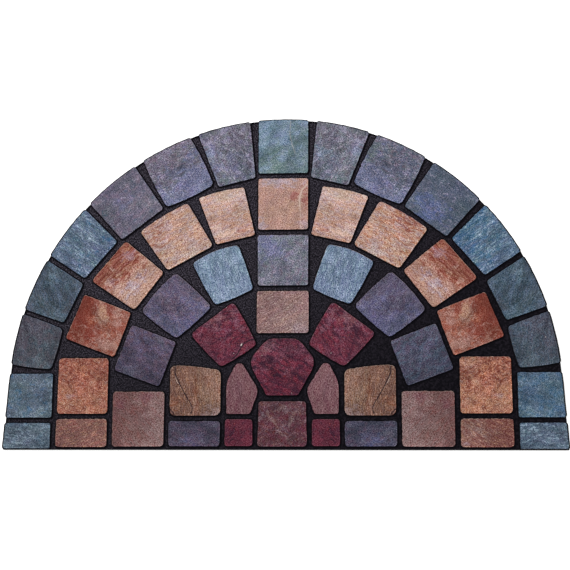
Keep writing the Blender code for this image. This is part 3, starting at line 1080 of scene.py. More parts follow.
# Every stone of the right half and the middle line: its name, X and Y of its middle, its ground
# ink and the layers over it. A mark's place is from the stone's middle, in millimetres as all of
# these are, and its way is as on the right half.
STONES = (
    # Blue-green slate, bluer at the upper left, with a faint pale vein.
    slate(
        "keystone", 0, 231, Ink.SEA_GREY,
        Cloud(Ink.FERN_GREY, 15, 0.35, 0.35),
        Drift(Ink.FERN_GREY, -70, 0.35),
        Drift(Ink.MIST_BLUE, 130, 0.65, 30),
        patch(Ink.MIST_BLUE, 28, -20, 34, 40, 0.35),
        Cloud(Ink.ASH, 4, 0.15, 0.3, 1.5, 60),
        patch(Ink.MIST_BLUE, -2, 4, 40, 30, 0.25),
        cracks=(Crack(((13, 44), (11, 22), (15, 2), (20, -14)), 1.5, -0.1, 0.2, ink=Ink.CREAM),),
    ),
    # Violet-grey slate with blue haze and dark patches.
    violet(
        "outer_1", 90, 219, Ink.VIOLET_GREY,
        left(Cloud(Ink.HAZE_BLUE, 17, 0.4, 0.4)),
        Cloud(Ink.MOSS_GREY, 15, 0.45, 0.6),
        right(Cloud(Ink.TEAL_GREY, 13, 0.5, 0.35)),
        Drift(Ink.MAUVE_GREY, 85, 0.2),
        left(patch(Ink.HAZE_BLUE, 18, -26, 50, 30, 0.6)),
        right(patch(Ink.ASH, -9, 14, 20, 34, 0.5, 10)),
        left(patch(Ink.ASH, -28, -2, 30, 54, 0.7)),
        Cloud(Ink.PALE_LILAC, 5, 0.24, 0.55, 2.0, 50),
        Cloud(Ink.PLUM, 6, 0.26, 0.45, 1.8, 50),
        right(patch(Ink.MIST_BLUE, -30, 0, 30, 36, 0.45)),
        patch(Ink.MIST_BLUE, 30, 0, 28, 36, 0.4),
        way=50,
    ),
    # The same slate, streaked, with a hazy blue inner corner. The left-hand stone is the paler.
    violet(
        "outer_2", 178, 188, Ink.SLATE_BLUE,
        left(Cloud(Ink.ROSE_SLATE, 12, 0.9, 0.8)),
        Cloud(Ink.MOSS_GREY, 13, 0.4, 0.5),
        left(patch(Ink.PALE_LILAC, 26, 28, 40, 24, 0.4, -28)),
        Drift(Ink.HAZE_BLUE, 215, 0.75),
        patch(Ink.ASH, 0, 0, 44, 34, 0.9, -30),
        right(patch(Ink.ASH, -4, 0, 90, 80, 0.5, -30)),
        right(patch(Ink.ASH, 24, -30, 44, 22, 0.6, 20)),
        Cloud(Ink.MAUVE_GREY, 4, 0.35, 0.45, 3.0, -28, 80),
        Cloud(Ink.PALE_LILAC, 3.4, 0.2, 0.5, 2.5, -28),
        Cloud(Ink.PLUM, 2.6, 0.12, 0.5, 1.6, -28),
        right(patch(Ink.ASH, -34, 34, 36, 32, 0.6)),
        right(patch(Ink.MOSS_GREY, -30, 30, 46, 38, 0.6)),
        way=-28,
    ),
    # Duller slate with a blue heart. The left-hand stone is rosier.
    slate(
        "outer_3", 265, 134, Ink.DENIM,
        left(Cloud(Ink.ROSE_SLATE, 12, 0.95, 0.75)),
        right(patch(Ink.INK_BLUE, -16, -14, 66, 46, 0.75, -40)),
        left(patch(Ink.HAZE_BLUE, 4, 0, 44, 30, 0.5, -30)),
        right(patch(Ink.ASH, 0, 4, 44, 32, 0.4, -40)),
        left(Cloud(Ink.MAUVE_GREY, 9, 0.35, 0.4, 1.5, -40)),
        Cloud(Ink.ASH, 7, 0.35, 0.5, 1.5, -40),
        Cloud(Ink.PALE_LILAC, 3, 0.14, 0.4, 2.0, -40),
        right(patch(Ink.ASH, -30, 28, 36, 26, 0.6)),
        right(patch(Ink.INK_BLUE, -28, -28, 32, 28, 0.5)),
        right(patch(Ink.INK_BLUE, -34, 0, 32, 30, 0.5)),
        left(patch(Ink.PALE_LILAC, -30, 0, 28, 28, 0.25)),
        left(patch(Ink.ASH, 30, 28, 32, 28, 0.5)),
        way=-40, tinge=0.3,
    ),
    # Strong blue slate with straight pale streaks across it.
    slate(
        "outer_4", 337, 63, Ink.COLD_BLUE,
        left(Cloud(Ink.GREY_BLUE, 12, 0.9, 0.8)),
        Cloud(Ink.DARK_TEAL, 6, 0.34, 0.6, 2.5, 34),
        Drift(Ink.SLATE_BLUE, -10, 0.5),
        Cloud(Ink.STEEL_BLUE, 3.2, 0.28, 0.5, 4, 34),
        Cloud(Ink.ICE_BLUE, 2.4, 0.16, 0.5, 6, 34),
        Mark(Ink.ICE_BLUE, -18, 4, 44, 3.0, 34, 0.25),
        Mark(Ink.ICE_BLUE, 4, 24, 34, 2.6, 34, 0.3),
        left(patch(Ink.DARK_TEAL, -24, -28, 34, 26, 0.4)),
        patch(Ink.DARK_TEAL, 28, -30, 34, 28, 0.5),
        patch(Ink.DARK_TEAL, 0, 0, 44, 32, 0.3, 34),
        way=34, stretch=2.0, bend=4.0,
    ),
    # Dark teal slate, finely streaked.
    slate(
        "outer_5", 385, -19, Ink.DARK_TEAL,
        Cloud(Ink.STORM_BLUE, 16, 0.4, 0.6, 1.5, 65),
        patch(Ink.STORM_BLUE, 0, 22, 30, 40, 0.9),
        patch(Ink.ICE_BLUE, 0, 26, 24, 28, 0.2),
        patch(Ink.DEEP_TEAL, -27, -27, 36, 34, 0.85),
        right(patch(Ink.STEEL_SHADE, 28, -26, 30, 26, 0.35)),
        Drift(Ink.LEAD, 10, 0.5),
        left(Cloud(Ink.GRAPHITE, 14, 0.8, 0.35)),
        Cloud(Ink.DEEP_TEAL, 3.4, 0.28, 0.5, 3, 68),
        Cloud(Ink.STEEL_SHADE, 2.6, 0.24, 0.5, 4, 68),
        patch(Ink.GRAPHITE, -30, -30, 32, 32, 0.5),
        way=68, stretch=2.0, bend=5.0, tinge=0.3,
    ),
    # The darkest slate, greyer on the left.
    slate(
        "outer_6", 411, -102, Ink.LEAD,
        right(patch(Ink.STORM_BLUE, -24, 22, 36, 44, 0.55)),
        left(patch(Ink.STORM_BLUE, -28, 26, 26, 30, 0.5)),
        left(Cloud(Ink.GRAPHITE, 14, 0.85, 0.75)),
        Cloud(Ink.DEEP_TEAL, 13, 0.4, 0.5, 1.4, 80),
        Cloud(Ink.TEAL_GREY, 9, 0.25, 0.18, 3, 80),
        Cloud(Ink.TEAL_GREY, 2.6, 0.2, 0.2, 4, 80),
        right(patch(Ink.DEEP_TEAL, -26, -26, 34, 26, 0.6)),
        Drift(Ink.PLUM, 60, 0.25),
        right(Cloud(Ink.STORM_BLUE, 3, 0.24, 0.4, 3, 80)),
        right(Mark(Ink.FLECK_WHITE, 17, 7, 3.4, 2.4, 0, 0.8)),
        way=80, stretch=2.4, tinge=0.2,
    ),
    # Two mottled blue slates at the foot of the arch, duller on the left.
    slate(
        "outer_7", 418, -190, Ink.HARBOUR_BLUE,
        Cloud(Ink.COLD_BLUE, 16, 0.5, 0.65),
        left(Cloud(Ink.ASH_BLUE, 15, 0.9, 0.85)),
        patch(Ink.DEEP_TEAL, -28, 0, 32, 40, 0.4),
        Cloud(Ink.DEEP_TEAL, 3.4, 0.28, 0.45, 1.8, -30),
        Cloud(Ink.STEEL_SHADE, 4, 0.28, 0.5, 1.6, -20),
        Cloud(Ink.ICE_BLUE, 3, 0.12, 0.3, 2.5, -40),
        way=-30, tinge=0.3,
    ),
    slate(
        "outer_8", 421, -256, Ink.HARBOUR_BLUE,
        right(Cloud(Ink.GREY_BLUE, 15, 0.7, 0.5)),
        left(Cloud(Ink.ASH_BLUE, 15, 0.9, 0.55)),
        Cloud(Ink.DEEP_NAVY, 6, 0.36, 0.5, 1.8, 6),
        left(patch(Ink.DEEP_NAVY, 12, 4, 46, 24, 0.3)),
        patch(Ink.DEEP_NAVY, 30, 4, 36, 30, 0.2),
        right(Cloud(Ink.ICE_BLUE, 4.4, 0.18, 0.4, 2.4, 6)),
        left(Cloud(Ink.ICE_BLUE, 5, 0.22, 0.25, 2.4, 6)),
        right(patch(Ink.ICE_BLUE, 30, 16, 30, 14, 0.22)),
        patch(Ink.ICE_BLUE, 32, -16, 24, 12, 0.22),
        way=6, bend=7.0, tinge=0.3,
    ),
    # Salmon sandstone with an upright pale vein between reddish patches.
    sandstone(
        "upright_1", 0, 130, Ink.SALMON,
        Cloud(Ink.PEACH, 14, 0.45, 0.5),
        Cloud(Ink.TAN, 6, 0.3, 0.3, 1.5, 60),
        patch(Ink.LILAC, -4, 38, 90, 22, 0.8),
        Mark(Ink.LILAC, -37, -37, 24, 24, 40, 0.7),
        patch(Ink.LILAC, 36, -34, 24, 24, 0.5),
        Mark(Ink.ROSE_RED, 19, 12, 16, 22, 0, 0.65),
        Mark(Ink.ROSE_RED, 37, 8, 12, 36, 0, 0.7),
        Mark(Ink.BRICK, 31, -28, 5, 13, 0, 0.5),
        rim=Ink.LILAC, way=60, bend=3.0,
        cracks=(
            Crack(((40, 32), (31, 22), (28, 10), (28, -4)), 3.4, -0.2, 0.45, ink=Ink.CREAM),
            Crack(((28, -4), (30, -26), (30, -44)), 2.4, -0.2, 0.28, ink=Ink.CREAM),
        ),
    ),
    # Palest peach, streaked across, with small red flecks low down.
    sandstone(
        "middle_1", 92, 113, Ink.PEACH,
        Cloud(Ink.TAN, 8, 0.42, 0.5, 2.6, -22),
        patch(Ink.CREAM, -4, 34, 80, 26, 0.3, -12),
        Cloud(Ink.LILAC, 6, 0.35, 0.5, 2.6, -22),
        Cloud(Ink.CREAM, 3.4, 0.28, 0.55, 3, -22, 100),
        Cloud(Ink.ORANGE, 3.4, 0.22, 0.4, 3, -22, 250),
        Cloud(Ink.DRY_RED, 2.6, 0.12, 0.85, 2.6, -30, 250),
        Mark(Ink.ROSE_RED, -24, -28, 26, 2.4, -22, 0.7),
        Mark(Ink.ROSE_RED, 4, -24, 18, 2.0, -26, 0.7),
        Mark(Ink.ROSE_RED, -8, -36, 20, 2.0, -20, 0.6),
        Mark(Ink.ROSE_RED, 16, -16, 22, 2.2, -24, 0.7),
        patch(Ink.LILAC, -30, 30, 32, 26, 0.5),
        patch(Ink.LILAC, 26, -32, 56, 20, 0.4, -14),
        patch(Ink.CREAM, 4, -30, 60, 30, 0.4),
        rim=Ink.HAZE_BLUE, way=-22, stretch=1.8, salt=0.34, bend=5.0,
    ),
    # Peach, streaked outwards, with rust at the right-hand stone's outer corner.
    sandstone(
        "middle_2", 179, 76, Ink.APRICOT,
        Cloud(Ink.TAN, 8, 0.42, 0.65, 2.6, -32),
        right(Mark(Ink.RUST, 30, 20, 66, 48, -34, 0.95, 0.9)),
        left(patch(Ink.RUST, 34, 4, 40, 70, 0.6)),
        Cloud(Ink.LILAC, 7, 0.34, 0.5, 2.6, -34),
        right(Cloud(Ink.ORANGE, 5, 0.4, 0.5, 4, -34)),
        Cloud(Ink.CREAM, 3.4, 0.25, 0.5, 3, -34),
        Cloud(Ink.DRY_RED, 2.6, 0.1, 0.85, 2.6, -34),
        right(Mark(Ink.BRICK, 16, 18, 36, 3.6, -32, 0.6)),
        Mark(Ink.ROSE_RED, 22, -16, 24, 2.6, -36, 0.7),
        right(patch(Ink.LILAC, -26, -26, 36, 30, 0.5)),
        right(patch(Ink.BRICK, 34, 24, 34, 26, 0.3, -34)),
        patch(Ink.CREAM, -30, -30, 32, 32, 0.6),
        rim=Ink.HAZE_BLUE, way=-34, stretch=1.8, salt=0.34, bend=5.0,
    ),
    # Rust outside and pale apricot inside, with dark red streaks and a pale patch.
    sandstone(
        "middle_3", 259, 10, Ink.PEACH,
        Drift(Ink.RUST, 48, 0.95, 24),
        Cloud(Ink.BRICK, 6, 0.38, 0.75, 4, -46, 52),
        Cloud(Ink.TAN, 4, 0.3, 0.4, 5, -46),
        right(Cloud(Ink.RUST, 14, 0.8, 0.25)),
        Mark(Ink.BRICK, 8, 12, 46, 4, -40, 0.6),
        Mark(Ink.BRICK, 22, 0, 40, 3.6, -46, 0.55),
        patch(Ink.LILAC, -14, -18, 66, 26, 0.85, -47),
        Mark(Ink.CREAM, -14, -20, 44, 5, -47, 0.6),
        Cloud(Ink.BRICK, 2.2, 0.2, 0.5, 6, -46),
        patch(Ink.LILAC, 0, 32, 34, 22, 0.4, -30),
        left(patch(Ink.LILAC, 26, -14, 30, 22, 0.3, -46)),
        way=-46, stretch=2.4, bend=4.0,
    ),
    # Brick red outside with tan patches above and salmon grain below.
    sandstone(
        "middle_4", 307, -74, Ink.TERRACOTTA,
        Drift(Ink.BRICK, 15, 0.8, 30),
        left(Cloud(Ink.BRICK, 14, 0.85, 0.3)),
        Cloud(Ink.BRICK, 9, 0.3, 0.5),
        Cloud(Ink.SALMON, 5, 0.5, 0.5, 1.2, 30, 245),
        patch(Ink.SALMON, -4, 20, 56, 28, 0.85, 78),
        patch(Ink.TAN, -6, 22, 38, 15, 0.75, 78),
        patch(Ink.SALMON, -34, 14, 26, 40, 0.8, 20),
        patch(Ink.SALMON, -18, -30, 66, 32, 0.75, 10),
        Cloud(Ink.BRICK, 3, 0.2, 0.5, 1.5, 30),
        Veins(Ink.BRICK, 10, 2.6, 0.5, 1.5, 30),
        left(patch(Ink.SALMON, -34, 30, 28, 28, 0.5)),
        patch(Ink.BRICK, -8, -4, 60, 22, 0.25),
        right(patch(Ink.SALMON, 28, -34, 32, 24, 0.45)),
        relief=RIVEN, mottle=0.08,
    ),
    # Salmon clay with small brick blotches in its upper half.
    sandstone(
        "course_6", 330, -174, Ink.CLAY,
        Cloud(Ink.SALMON, 12, 0.4, 0.3),
        Drift(Ink.TAN, 270, 0.35),
        right(patch(Ink.SALMON, -26, 34, 36, 26, 0.9)),
        Cloud(Ink.BRICK, 5, 0.46, 0.85, 1.0, 0, 95),
        left(Cloud(Ink.RUST, 12, 0.85, 0.45)),
        Mark(Ink.BRICK, -30, 14, 16, 24, 20, 0.45),
        Cloud(Ink.BRICK, 2.8, 0.2, 0.5),
        Veins(Ink.BRICK, 11, 3.4, 0.75, 1.3, 40),
        Veins(Ink.BRICK, 9, 3.0, 0.6, 1.3, -40),
        Mark(Ink.LILAC, 22, -18, 18, 12, 0, 0.3),
        Cloud(Ink.CREAM, 2.4, 0.14, 0.3),
        right(patch(Ink.TAN, -30, 38, 34, 24, 0.45)),
        relief=RIVEN, mottle=0.07, tinge=0.28, bend=8.0,
    ),
    # Dusty rose brown, with long reddish streaks on the right and redder outside there.
    sandstone(
        "course_5", 330, -251, Ink.ROSE_BROWN,
        right(Drift(Ink.DRY_RED, 0, 0.7, 32)),
        left(Drift(Ink.UMBER, 0, 0.35, 36)),
        left(Cloud(Ink.UMBER, 12, 0.6, 0.35)),
        right(patch(Ink.PALE_MAUVE, -18, 4, 50, 30, 0.6, -30)),
        right(Cloud(Ink.DRY_RED, 5, 0.28, 0.7, 4, -30)),
        left(Cloud(Ink.ROSE_RED, 3.4, 0.2, 0.4, 5, -8)),
        Cloud(Ink.TAN, 2.6, 0.18, 0.4, 5, -30),
        right(Mark(Ink.LILAC, -35, -18, 14, 9, 20, 0.3)),
        left(patch(Ink.UMBER, 34, -18, 26, 22, 0.4)),
        way=-20, stretch=2.0, salt=0.42, bend=5.0,
    ),
    # Violet-grey slate, bluer at the upper left and browner below.
    violet(
        "upright_2", 0, 34, Ink.VIOLET_GREY,
        patch(Ink.HAZE_BLUE, -14, 18, 60, 50, 0.8, 30),
        Cloud(Ink.MOSS_GREY, 14, 0.4, 0.55),
        patch(Ink.ASH, -4, -22, 70, 26, 0.65, 10),
        Cloud(Ink.MAUVE_GREY, 8, 0.4, 0.5, 1.0, 0, 300),
        patch(Ink.MAUVE_GREY, 28, 26, 26, 20, 0.5),
        Cloud(Ink.PALE_LILAC, 3, 0.2, 0.45, 2, 70),
        patch(Ink.ASH, 0, -36, 50, 22, 0.4),
        patch(Ink.HAZE_BLUE, -32, 32, 36, 36, 0.5),
        rim=Ink.SALMON, way=70,
    ),
    # Steel blue slate with fine straight pale streaks.
    slate(
        "inner_1", 98, 12, Ink.STEEL_BLUE,
        patch(Ink.FERN_GREY, -14, 2, 34, 50, 0.4, 20),
        left(Cloud(Ink.ICE_BLUE, 12, 0.9, 0.22)),
        Cloud(Ink.STEEL_SHADE, 6, 0.42, 0.65, 3.0, 74),
        Cloud(Ink.ICE_BLUE, 2.2, 0.2, 0.65, 7, 74),
        Mark(Ink.ICE_BLUE, 26, 8, 44, 2.8, 74, 0.65),
        Mark(Ink.ICE_BLUE, 34, 14, 30, 2.4, 70, 0.55),
        Cloud(Ink.DARK_TEAL, 2.6, 0.1, 0.45, 3, 74),
        patch(Ink.ICE_BLUE, -26, 28, 32, 26, 0.3),
        rim=Ink.TAN, way=74, stretch=2.4, mottle=0.08, bend=3.0, tinge=0.3,
    ),
    # Dusky purple slate, bluer at its foot.
    violet(
        "inner_2", 178, -42, Ink.DUSK_PURPLE,
        Cloud(Ink.PLUM, 14, 0.35, 0.5),
        Drift(Ink.DUSK_BLUE, 250, 0.65),
        patch(Ink.NIGHT_PURPLE, 4, 0, 52, 38, 0.5),
        left(patch(Ink.PLUM, 4, -8, 60, 44, 0.5)),
        Cloud(Ink.VIOLET_GREY, 4, 0.25, 0.5, 1.8, 50),
        Cloud(Ink.NIGHT_PURPLE, 3.4, 0.26, 0.5, 1.8, 50),
        left(Cloud(Ink.MAUVE_GREY, 6, 0.4, 0.35)),
        rim=Ink.LILAC, way=50,
    ),
    # Dark slate, blue-violet on the right and purple on the left.
    violet(
        "inner_3", 228, -125, Ink.NIGHT_PURPLE,
        right(Cloud(Ink.PLUM, 13, 0.4, 0.35)),
        left(Cloud(Ink.PLUM, 13, 0.85, 0.7)),
        left(Cloud(Ink.MAUVE_GREY, 7, 0.4, 0.25, 1.6, 40)),
        right(Cloud(Ink.STORM_BLUE, 8, 0.35, 0.5, 1.6, 40)),
        Cloud(Ink.DUSK_PURPLE, 8, 0.45, 0.65, 1.6, 40, 110),
        left(patch(Ink.VIOLET_GREY, -26, 24, 34, 34, 0.5)),
        left(patch(Ink.VIOLET_GREY, 28, -28, 36, 28, 0.5)),
        right(Cloud(Ink.TEAL_GREY, 2.6, 0.16, 0.4, 2.0, 40)),
        left(Cloud(Ink.DUSK_BLUE, 3, 0.12, 0.4, 2.0, 40)),
        Drift(Ink.DEEP_NAVY, 285, 0.5),
        rim=Ink.LILAC, way=40,
    ),
    # Mauve-brown sandstone, redder above, with fine cracks in one lower corner.
    sandstone(
        "course_4", 236, -230, Ink.MAUVE_BROWN,
        Drift(Ink.PALE_MAUVE, 200, 0.8, 38, 30),
        right(Cloud(Ink.PALE_MAUVE, 14, 0.9, 0.35)),
        Drift(Ink.UMBER, 20, 0.65, 38, 30),
        patch(Ink.BURGUNDY, -12, 34, 46, 18, 0.4, -20),
        patch(Ink.BURGUNDY, 32, 22, 18, 34, 0.4, 20),
        Cloud(Ink.ROSE_RED, 4, 0.2, 0.25, 4, 48),
        way=48, stretch=2.4, salt=0.42, mottle=0.04, bend=5.0,
        cracks=(
            Crack(((8, -40), (20, -33), (29, -22), (41, -4)), 1.4, 0.35, 0.4),
            Crack(((24, -30), (33, -36), (41, -43)), 1.4, 0.35, 0.5),
        ),
    ),
    # Rose-tan sandstone, darker on the left, with a slanting grain.
    sandstone(
        "upright_3", 0, -53, Ink.ROSE_TAN,
        Drift(Ink.MAUVE_BROWN, 170, 0.75, 40, 26),
        Drift(Ink.PALE_MAUVE, -20, 0.4, 34, 26),
        Cloud(Ink.SALMON, 9, 0.4, 0.3, 3, 32),
        Cloud(Ink.CREAM, 2.6, 0.12, 0.3, 5, 32),
        Mark(Ink.BURGUNDY, -26, -16, 22, 2.2, -38, 0.5),
        Mark(Ink.BURGUNDY, 22, 26, 30, 2.2, 34, 0.45),
        patch(Ink.LILAC, 32, -28, 38, 28, 0.3),
        way=32, stretch=2.4, salt=0.42, tinge=0.24, mottle=0.04, bend=4.0,
    ),
    # Burgundy marble with long dark veins. The left-hand stone has a crack with white in it.
    marble(
        "heart_ring", 94, -92, Ink.DUSTY_WINE,
        Cloud(Ink.CRIMSON, 16, 0.55, 0.75),
        patch(Ink.ROSE_TAN, 10, 26, 60, 34, 0.32, -20),
        Drift(Ink.WINE, 280, 0.7),
        Veins(Ink.PLUM_BLACK, 15, 4.0, 0.75, 2.6, -50),
        right(Cloud(Ink.PLUM_BLACK, 6, 0.16, 0.6, 5, -58)),
        left(Cloud(Ink.PLUM_BLACK, 6, 0.18, 0.6, 5, 8)),
        right(patch(Ink.PLUM_BLACK, 24, 4, 34, 18, 0.8, -40)),
        left(Mark(Ink.PLUM_BLACK, -4, 24, 62, 7, -12, 0.65)),
        Flecks(Ink.FLECK_ORANGE, 9, 1.8, 0.25, 0.5),
        Flecks(Ink.FLECK_WHITE, 14, 1.6, 0.15, 0.5),
        rim=Ink.ROSE_TAN, way=-35, bend=5.0,
        cracks=(
            Crack(((-52, -7), (-36, -13), (-29, -21), (-23, -33), (-14, -41)), 2.2, 0.6, 0.9, Side.LEFT),
            Crack(((-30, -16), (-29, -18)), 2.0, 0.0, 0.7, Side.LEFT, Ink.FLECK_WHITE),
            Crack(((20, 15), (24, 1), (17, -22), (8, -44)), 3.6, 0.1, 0.5, Side.RIGHT, Ink.PLUM_BLACK),
            Crack(((3, 31), (20, 15), (40, -6), (52, 0)), 2.6, 0.1, 0.45, Side.RIGHT, Ink.PLUM_BLACK),
        ),
    ),
    # Brown sandstone with an upright grain, a red-brown heart and a long dark crack.
    sandstone(
        "course_3", 143, -184, Ink.BROWN_SAND,
        Drift(Ink.SAND_TAN, 180, 0.85, 34, 30),
        Drift(Ink.DEEP_UMBER, -25, 0.75, 32, 30),
        patch(Ink.DEEP_UMBER, 16, -30, 56, 26, 0.35),
        patch(Ink.RED_EARTH, -2, 4, 80, 10, 0.55, 86),
        patch(Ink.ORANGE, 32, -22, 20, 26, 0.3),
        Cloud(Ink.TAN, 2.4, 0.2, 0.4, 6, 84),
        Cloud(Ink.RED_EARTH, 2.4, 0.2, 0.4, 6, 84),
        Mark(Ink.CREAM, 29, 14, 34, 2.0, 64, 0.4),
        patch(Ink.LILAC, -30, -36, 36, 26, 0.25),
        right(patch(Ink.DEEP_UMBER, 34, 2, 26, 36, 0.35)),
        way=84, stretch=2.6, salt=0.42, bend=4.0,
        cracks=(
            Crack(((33, 39), (34, 28), (24, 7), (16, -7), (8, -20), (4, -29), (6, -39)), 2.2, 0.6, 0.9),
            Crack(((46, -26), (38, -34), (32, -42)), 2.4, 0.5, 0.8),
        ),
    ),
    # Dark purple slate.
    violet(
        "course_2", 144, -253, Ink.NIGHT_PURPLE,
        patch(Ink.NIGHT_BLUE, 6, -10, 44, 20, 0.6),
        Cloud(Ink.PLUM, 11, 0.4, 0.5),
        left(Cloud(Ink.PLUM, 16, 0.9, 0.45)),
        Cloud(Ink.VIOLET_GREY, 3.4, 0.16, 0.4, 2, 12),
        Drift(Ink.DEEP_NAVY, 95, 0.4),
        Cloud(Ink.DEEP_NAVY, 6, 0.3, 0.4),
        right(patch(Ink.VIOLET_GREY, 30, 0, 26, 24, 0.35)),
        rim=Ink.VIOLET_GREY, way=12,
    ),
    # The heart: wine marble with dark clouds and veins.
    marble(
        "heart", 0, -143, Ink.WINE,
        Drift(Ink.DUSTY_WINE, 100, 0.7),
        Cloud(Ink.CRIMSON, 18, 0.55, 0.5),
        Veins(Ink.PLUM_BLACK, 17, 4.6, 0.8, 2.4, -35),
        Veins(Ink.PLUM_BLACK, 13, 3.4, 0.6, 2.0, 20),
        patch(Ink.PLUM_BLACK, 14, 18, 46, 16, 0.75, -32),
        patch(Ink.PLUM_BLACK, -24, 6, 34, 12, 0.85, 5),
        patch(Ink.PLUM_BLACK, 30, -18, 46, 10, 0.9, -40),
        patch(Ink.PLUM_BLACK, 33, 24, 30, 12, 0.6, -60),
        patch(Ink.PLUM_BLACK, -8, -38, 30, 8, 0.5, 20),
        Cloud(Ink.PLUM_BLACK, 5, 0.2, 0.75, 5, -30),
        Flecks(Ink.FLECK_ORANGE, 10, 1.8, 0.3, 0.5),
        Flecks(Ink.FLECK_WHITE, 16, 1.8, 0.15, 0.6),
        patch(Ink.ROSE_TAN, -26, 32, 36, 26, 0.3, 30),
        patch(Ink.PLUM_BLACK, 24, -38, 28, 16, 0.4),
        rim=Ink.ROSE_TAN, way=-30, bend=5.0,
    ),
    # Rosy sandstone with a fine grain along it.
    sandstone(
        "shield", 69, -184, Ink.ROSY,
        Drift(Ink.OLD_ROSE, 270, 0.6, 34, 26),
        left(Cloud(Ink.OLD_ROSE, 12, 0.9, 0.35)),
        right(Cloud(Ink.ROSE_TAN, 12, 0.5, 0.15)),
        Cloud(Ink.BURGUNDY, 7, 0.35, 0.35, 3, 82),
        Cloud(Ink.ROSE_TAN, 2.6, 0.3, 0.4, 6, 82),
        rim=Ink.ROSE_TAN, way=82, stretch=2.6, salt=0.42, bend=3.0,
    ),
    # Broken marble: mauve and burgundy run through each other, with pale slanting crests.
    marble(
        "foot", 0, -237, Ink.FADED_WINE,
        Cloud(Ink.PLUM, 12, 0.35, 0.4, 1.5, -40),
        patch(Ink.WINE, -24, -6, 40, 16, 0.9, -50),
        patch(Ink.WINE, 2, 10, 22, 16, 0.7),
        patch(Ink.WINE, 30, -8, 40, 18, 0.8, 60),
        patch(Ink.PALE_MAUVE, -16, 8, 40, 8, 0.6, -56),
        patch(Ink.PALE_MAUVE, 2, -20, 34, 7, 0.6, -42),
        patch(Ink.PALE_MAUVE, 15, 4, 44, 8, 0.55, 66),
        patch(Ink.PALE_MAUVE, 4, 26, 44, 7, 0.4, 6),
        patch(Ink.UMBER, -30, -28, 26, 14, 0.5, 30),
        Cloud(Ink.ROSE_TAN, 3, 0.16, 0.4, 4, 38),
        Cloud(Ink.RED_EARTH, 4, 0.18, 0.4, 3, -38),
        Veins(Ink.WINE, 12, 4.0, 0.7, 2.0, -40),
        Veins(Ink.LILAC, 18, 2.2, 0.18, 2.2, 40),
        rim=Ink.ROSE_TAN, way=38, bend=6.0,
    ),
    # Crimson with dark marks.
    marble(
        "course_1", 71, -251, Ink.WINE,
        Cloud(Ink.CRIMSON, 12, 0.5, 0.2),
        Mark(Ink.PLUM_BLACK, 10, 0, 34, 4.4, -62, 0.8),
        patch(Ink.PLUM_BLACK, -6, 2, 20, 7, 0.5, 30),
        patch(Ink.PLUM_BLACK, 22, -4, 16, 30, 0.4),
        Veins(Ink.PLUM_BLACK, 12, 3.0, 0.7, 2.4, -55),
        Flecks(Ink.FLECK_ORANGE, 9, 1.7, 0.2, 0.5),
        rim=Ink.ROSE_TAN, bend=5.0,
    ),
)


def select_only(obj: bpy.types.Object) -> None:
    """Make an object the active one and the only selected one.

    Args:
        obj: The object.
    """
    bpy.ops.object.select_all(action="DESELECT")
    obj.select_set(True)
    bpy.context.view_layer.objects.active = obj


def choose(obj: bpy.types.Object, test: Callable[[Element], bool], kind: str) -> None:
    """In edit mode, select the faces or edges that pass a test, and nothing else.

    Args:
        obj: The object in edit mode.
        test: Says whether a face or an edge is chosen.
        kind: FACE or EDGE.
    """
    bpy.ops.mesh.select_mode(type=kind)
    bpy.ops.mesh.select_all(action="DESELECT")
    mesh = bmesh.from_edit_mesh(obj.data)
    for item in mesh.faces if kind == "FACE" else mesh.edges:
        if test(item):
            item.select_set(True)
    bmesh.update_edit_mesh(obj.data)


def between(item: Element, low: float, high: float) -> bool:
    """Whether all of a face or an edge lies between two heights."""
    return all(low - NEAR < vert.co.z < high + NEAR for vert in item.verts)


def merged_copy(name: str) -> bpy.types.Object:
    """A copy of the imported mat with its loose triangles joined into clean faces.

    Args:
        name: The copy's name.

    Returns:
        The copy, selected and in object mode.
    """
    obj = bpy.data.objects.new(name, frame["nodes"][NODE].data.copy())
    obj.data.name = name
    obj.data.materials.clear()
    for layer in list(obj.data.uv_layers):
        obj.data.uv_layers.remove(layer)
    bpy.context.scene.collection.objects.link(obj)
    select_only(obj)
    bpy.ops.object.mode_set(mode="EDIT")
    bpy.ops.mesh.select_all(action="SELECT")
    bpy.ops.mesh.remove_doubles(threshold=NEAR / 5)
    bpy.ops.mesh.dissolve_limited(angle_limit=math.radians(FLAT_ANGLE))
    bpy.ops.object.mode_set(mode="OBJECT")
    return obj


def parted(kind: str) -> list[bpy.types.Object]:
    """In edit mode, part a mesh into objects.

    Args:
        kind: SELECTED for the selected faces, or LOOSE for each piece that hangs together.

    Returns:
        The new objects.
    """
    before = set(bpy.data.objects)
    bpy.ops.mesh.separate(type=kind)
    bpy.ops.object.mode_set(mode="OBJECT")
    return [obj for obj in bpy.data.objects if obj not in before]


def apply_modifier(obj: bpy.types.Object, kind: str, **settings: object) -> None:
    """Add a modifier, set it and apply it.

    Args:
        obj: The object.
        kind: The modifier's type.
        settings: Its properties.
    """
    select_only(obj)
    modifier = obj.modifiers.new(kind.lower(), kind)
    for name, value in settings.items():
        setattr(modifier, name, value)
    bpy.ops.object.modifier_apply(modifier=modifier.name)


def smooth(obj: bpy.types.Object) -> None:
    """Shade an object smooth, except over its sharp edges."""
    select_only(obj)
    bpy.ops.object.shade_smooth_by_angle(angle=math.radians(SHARP_ANGLE))


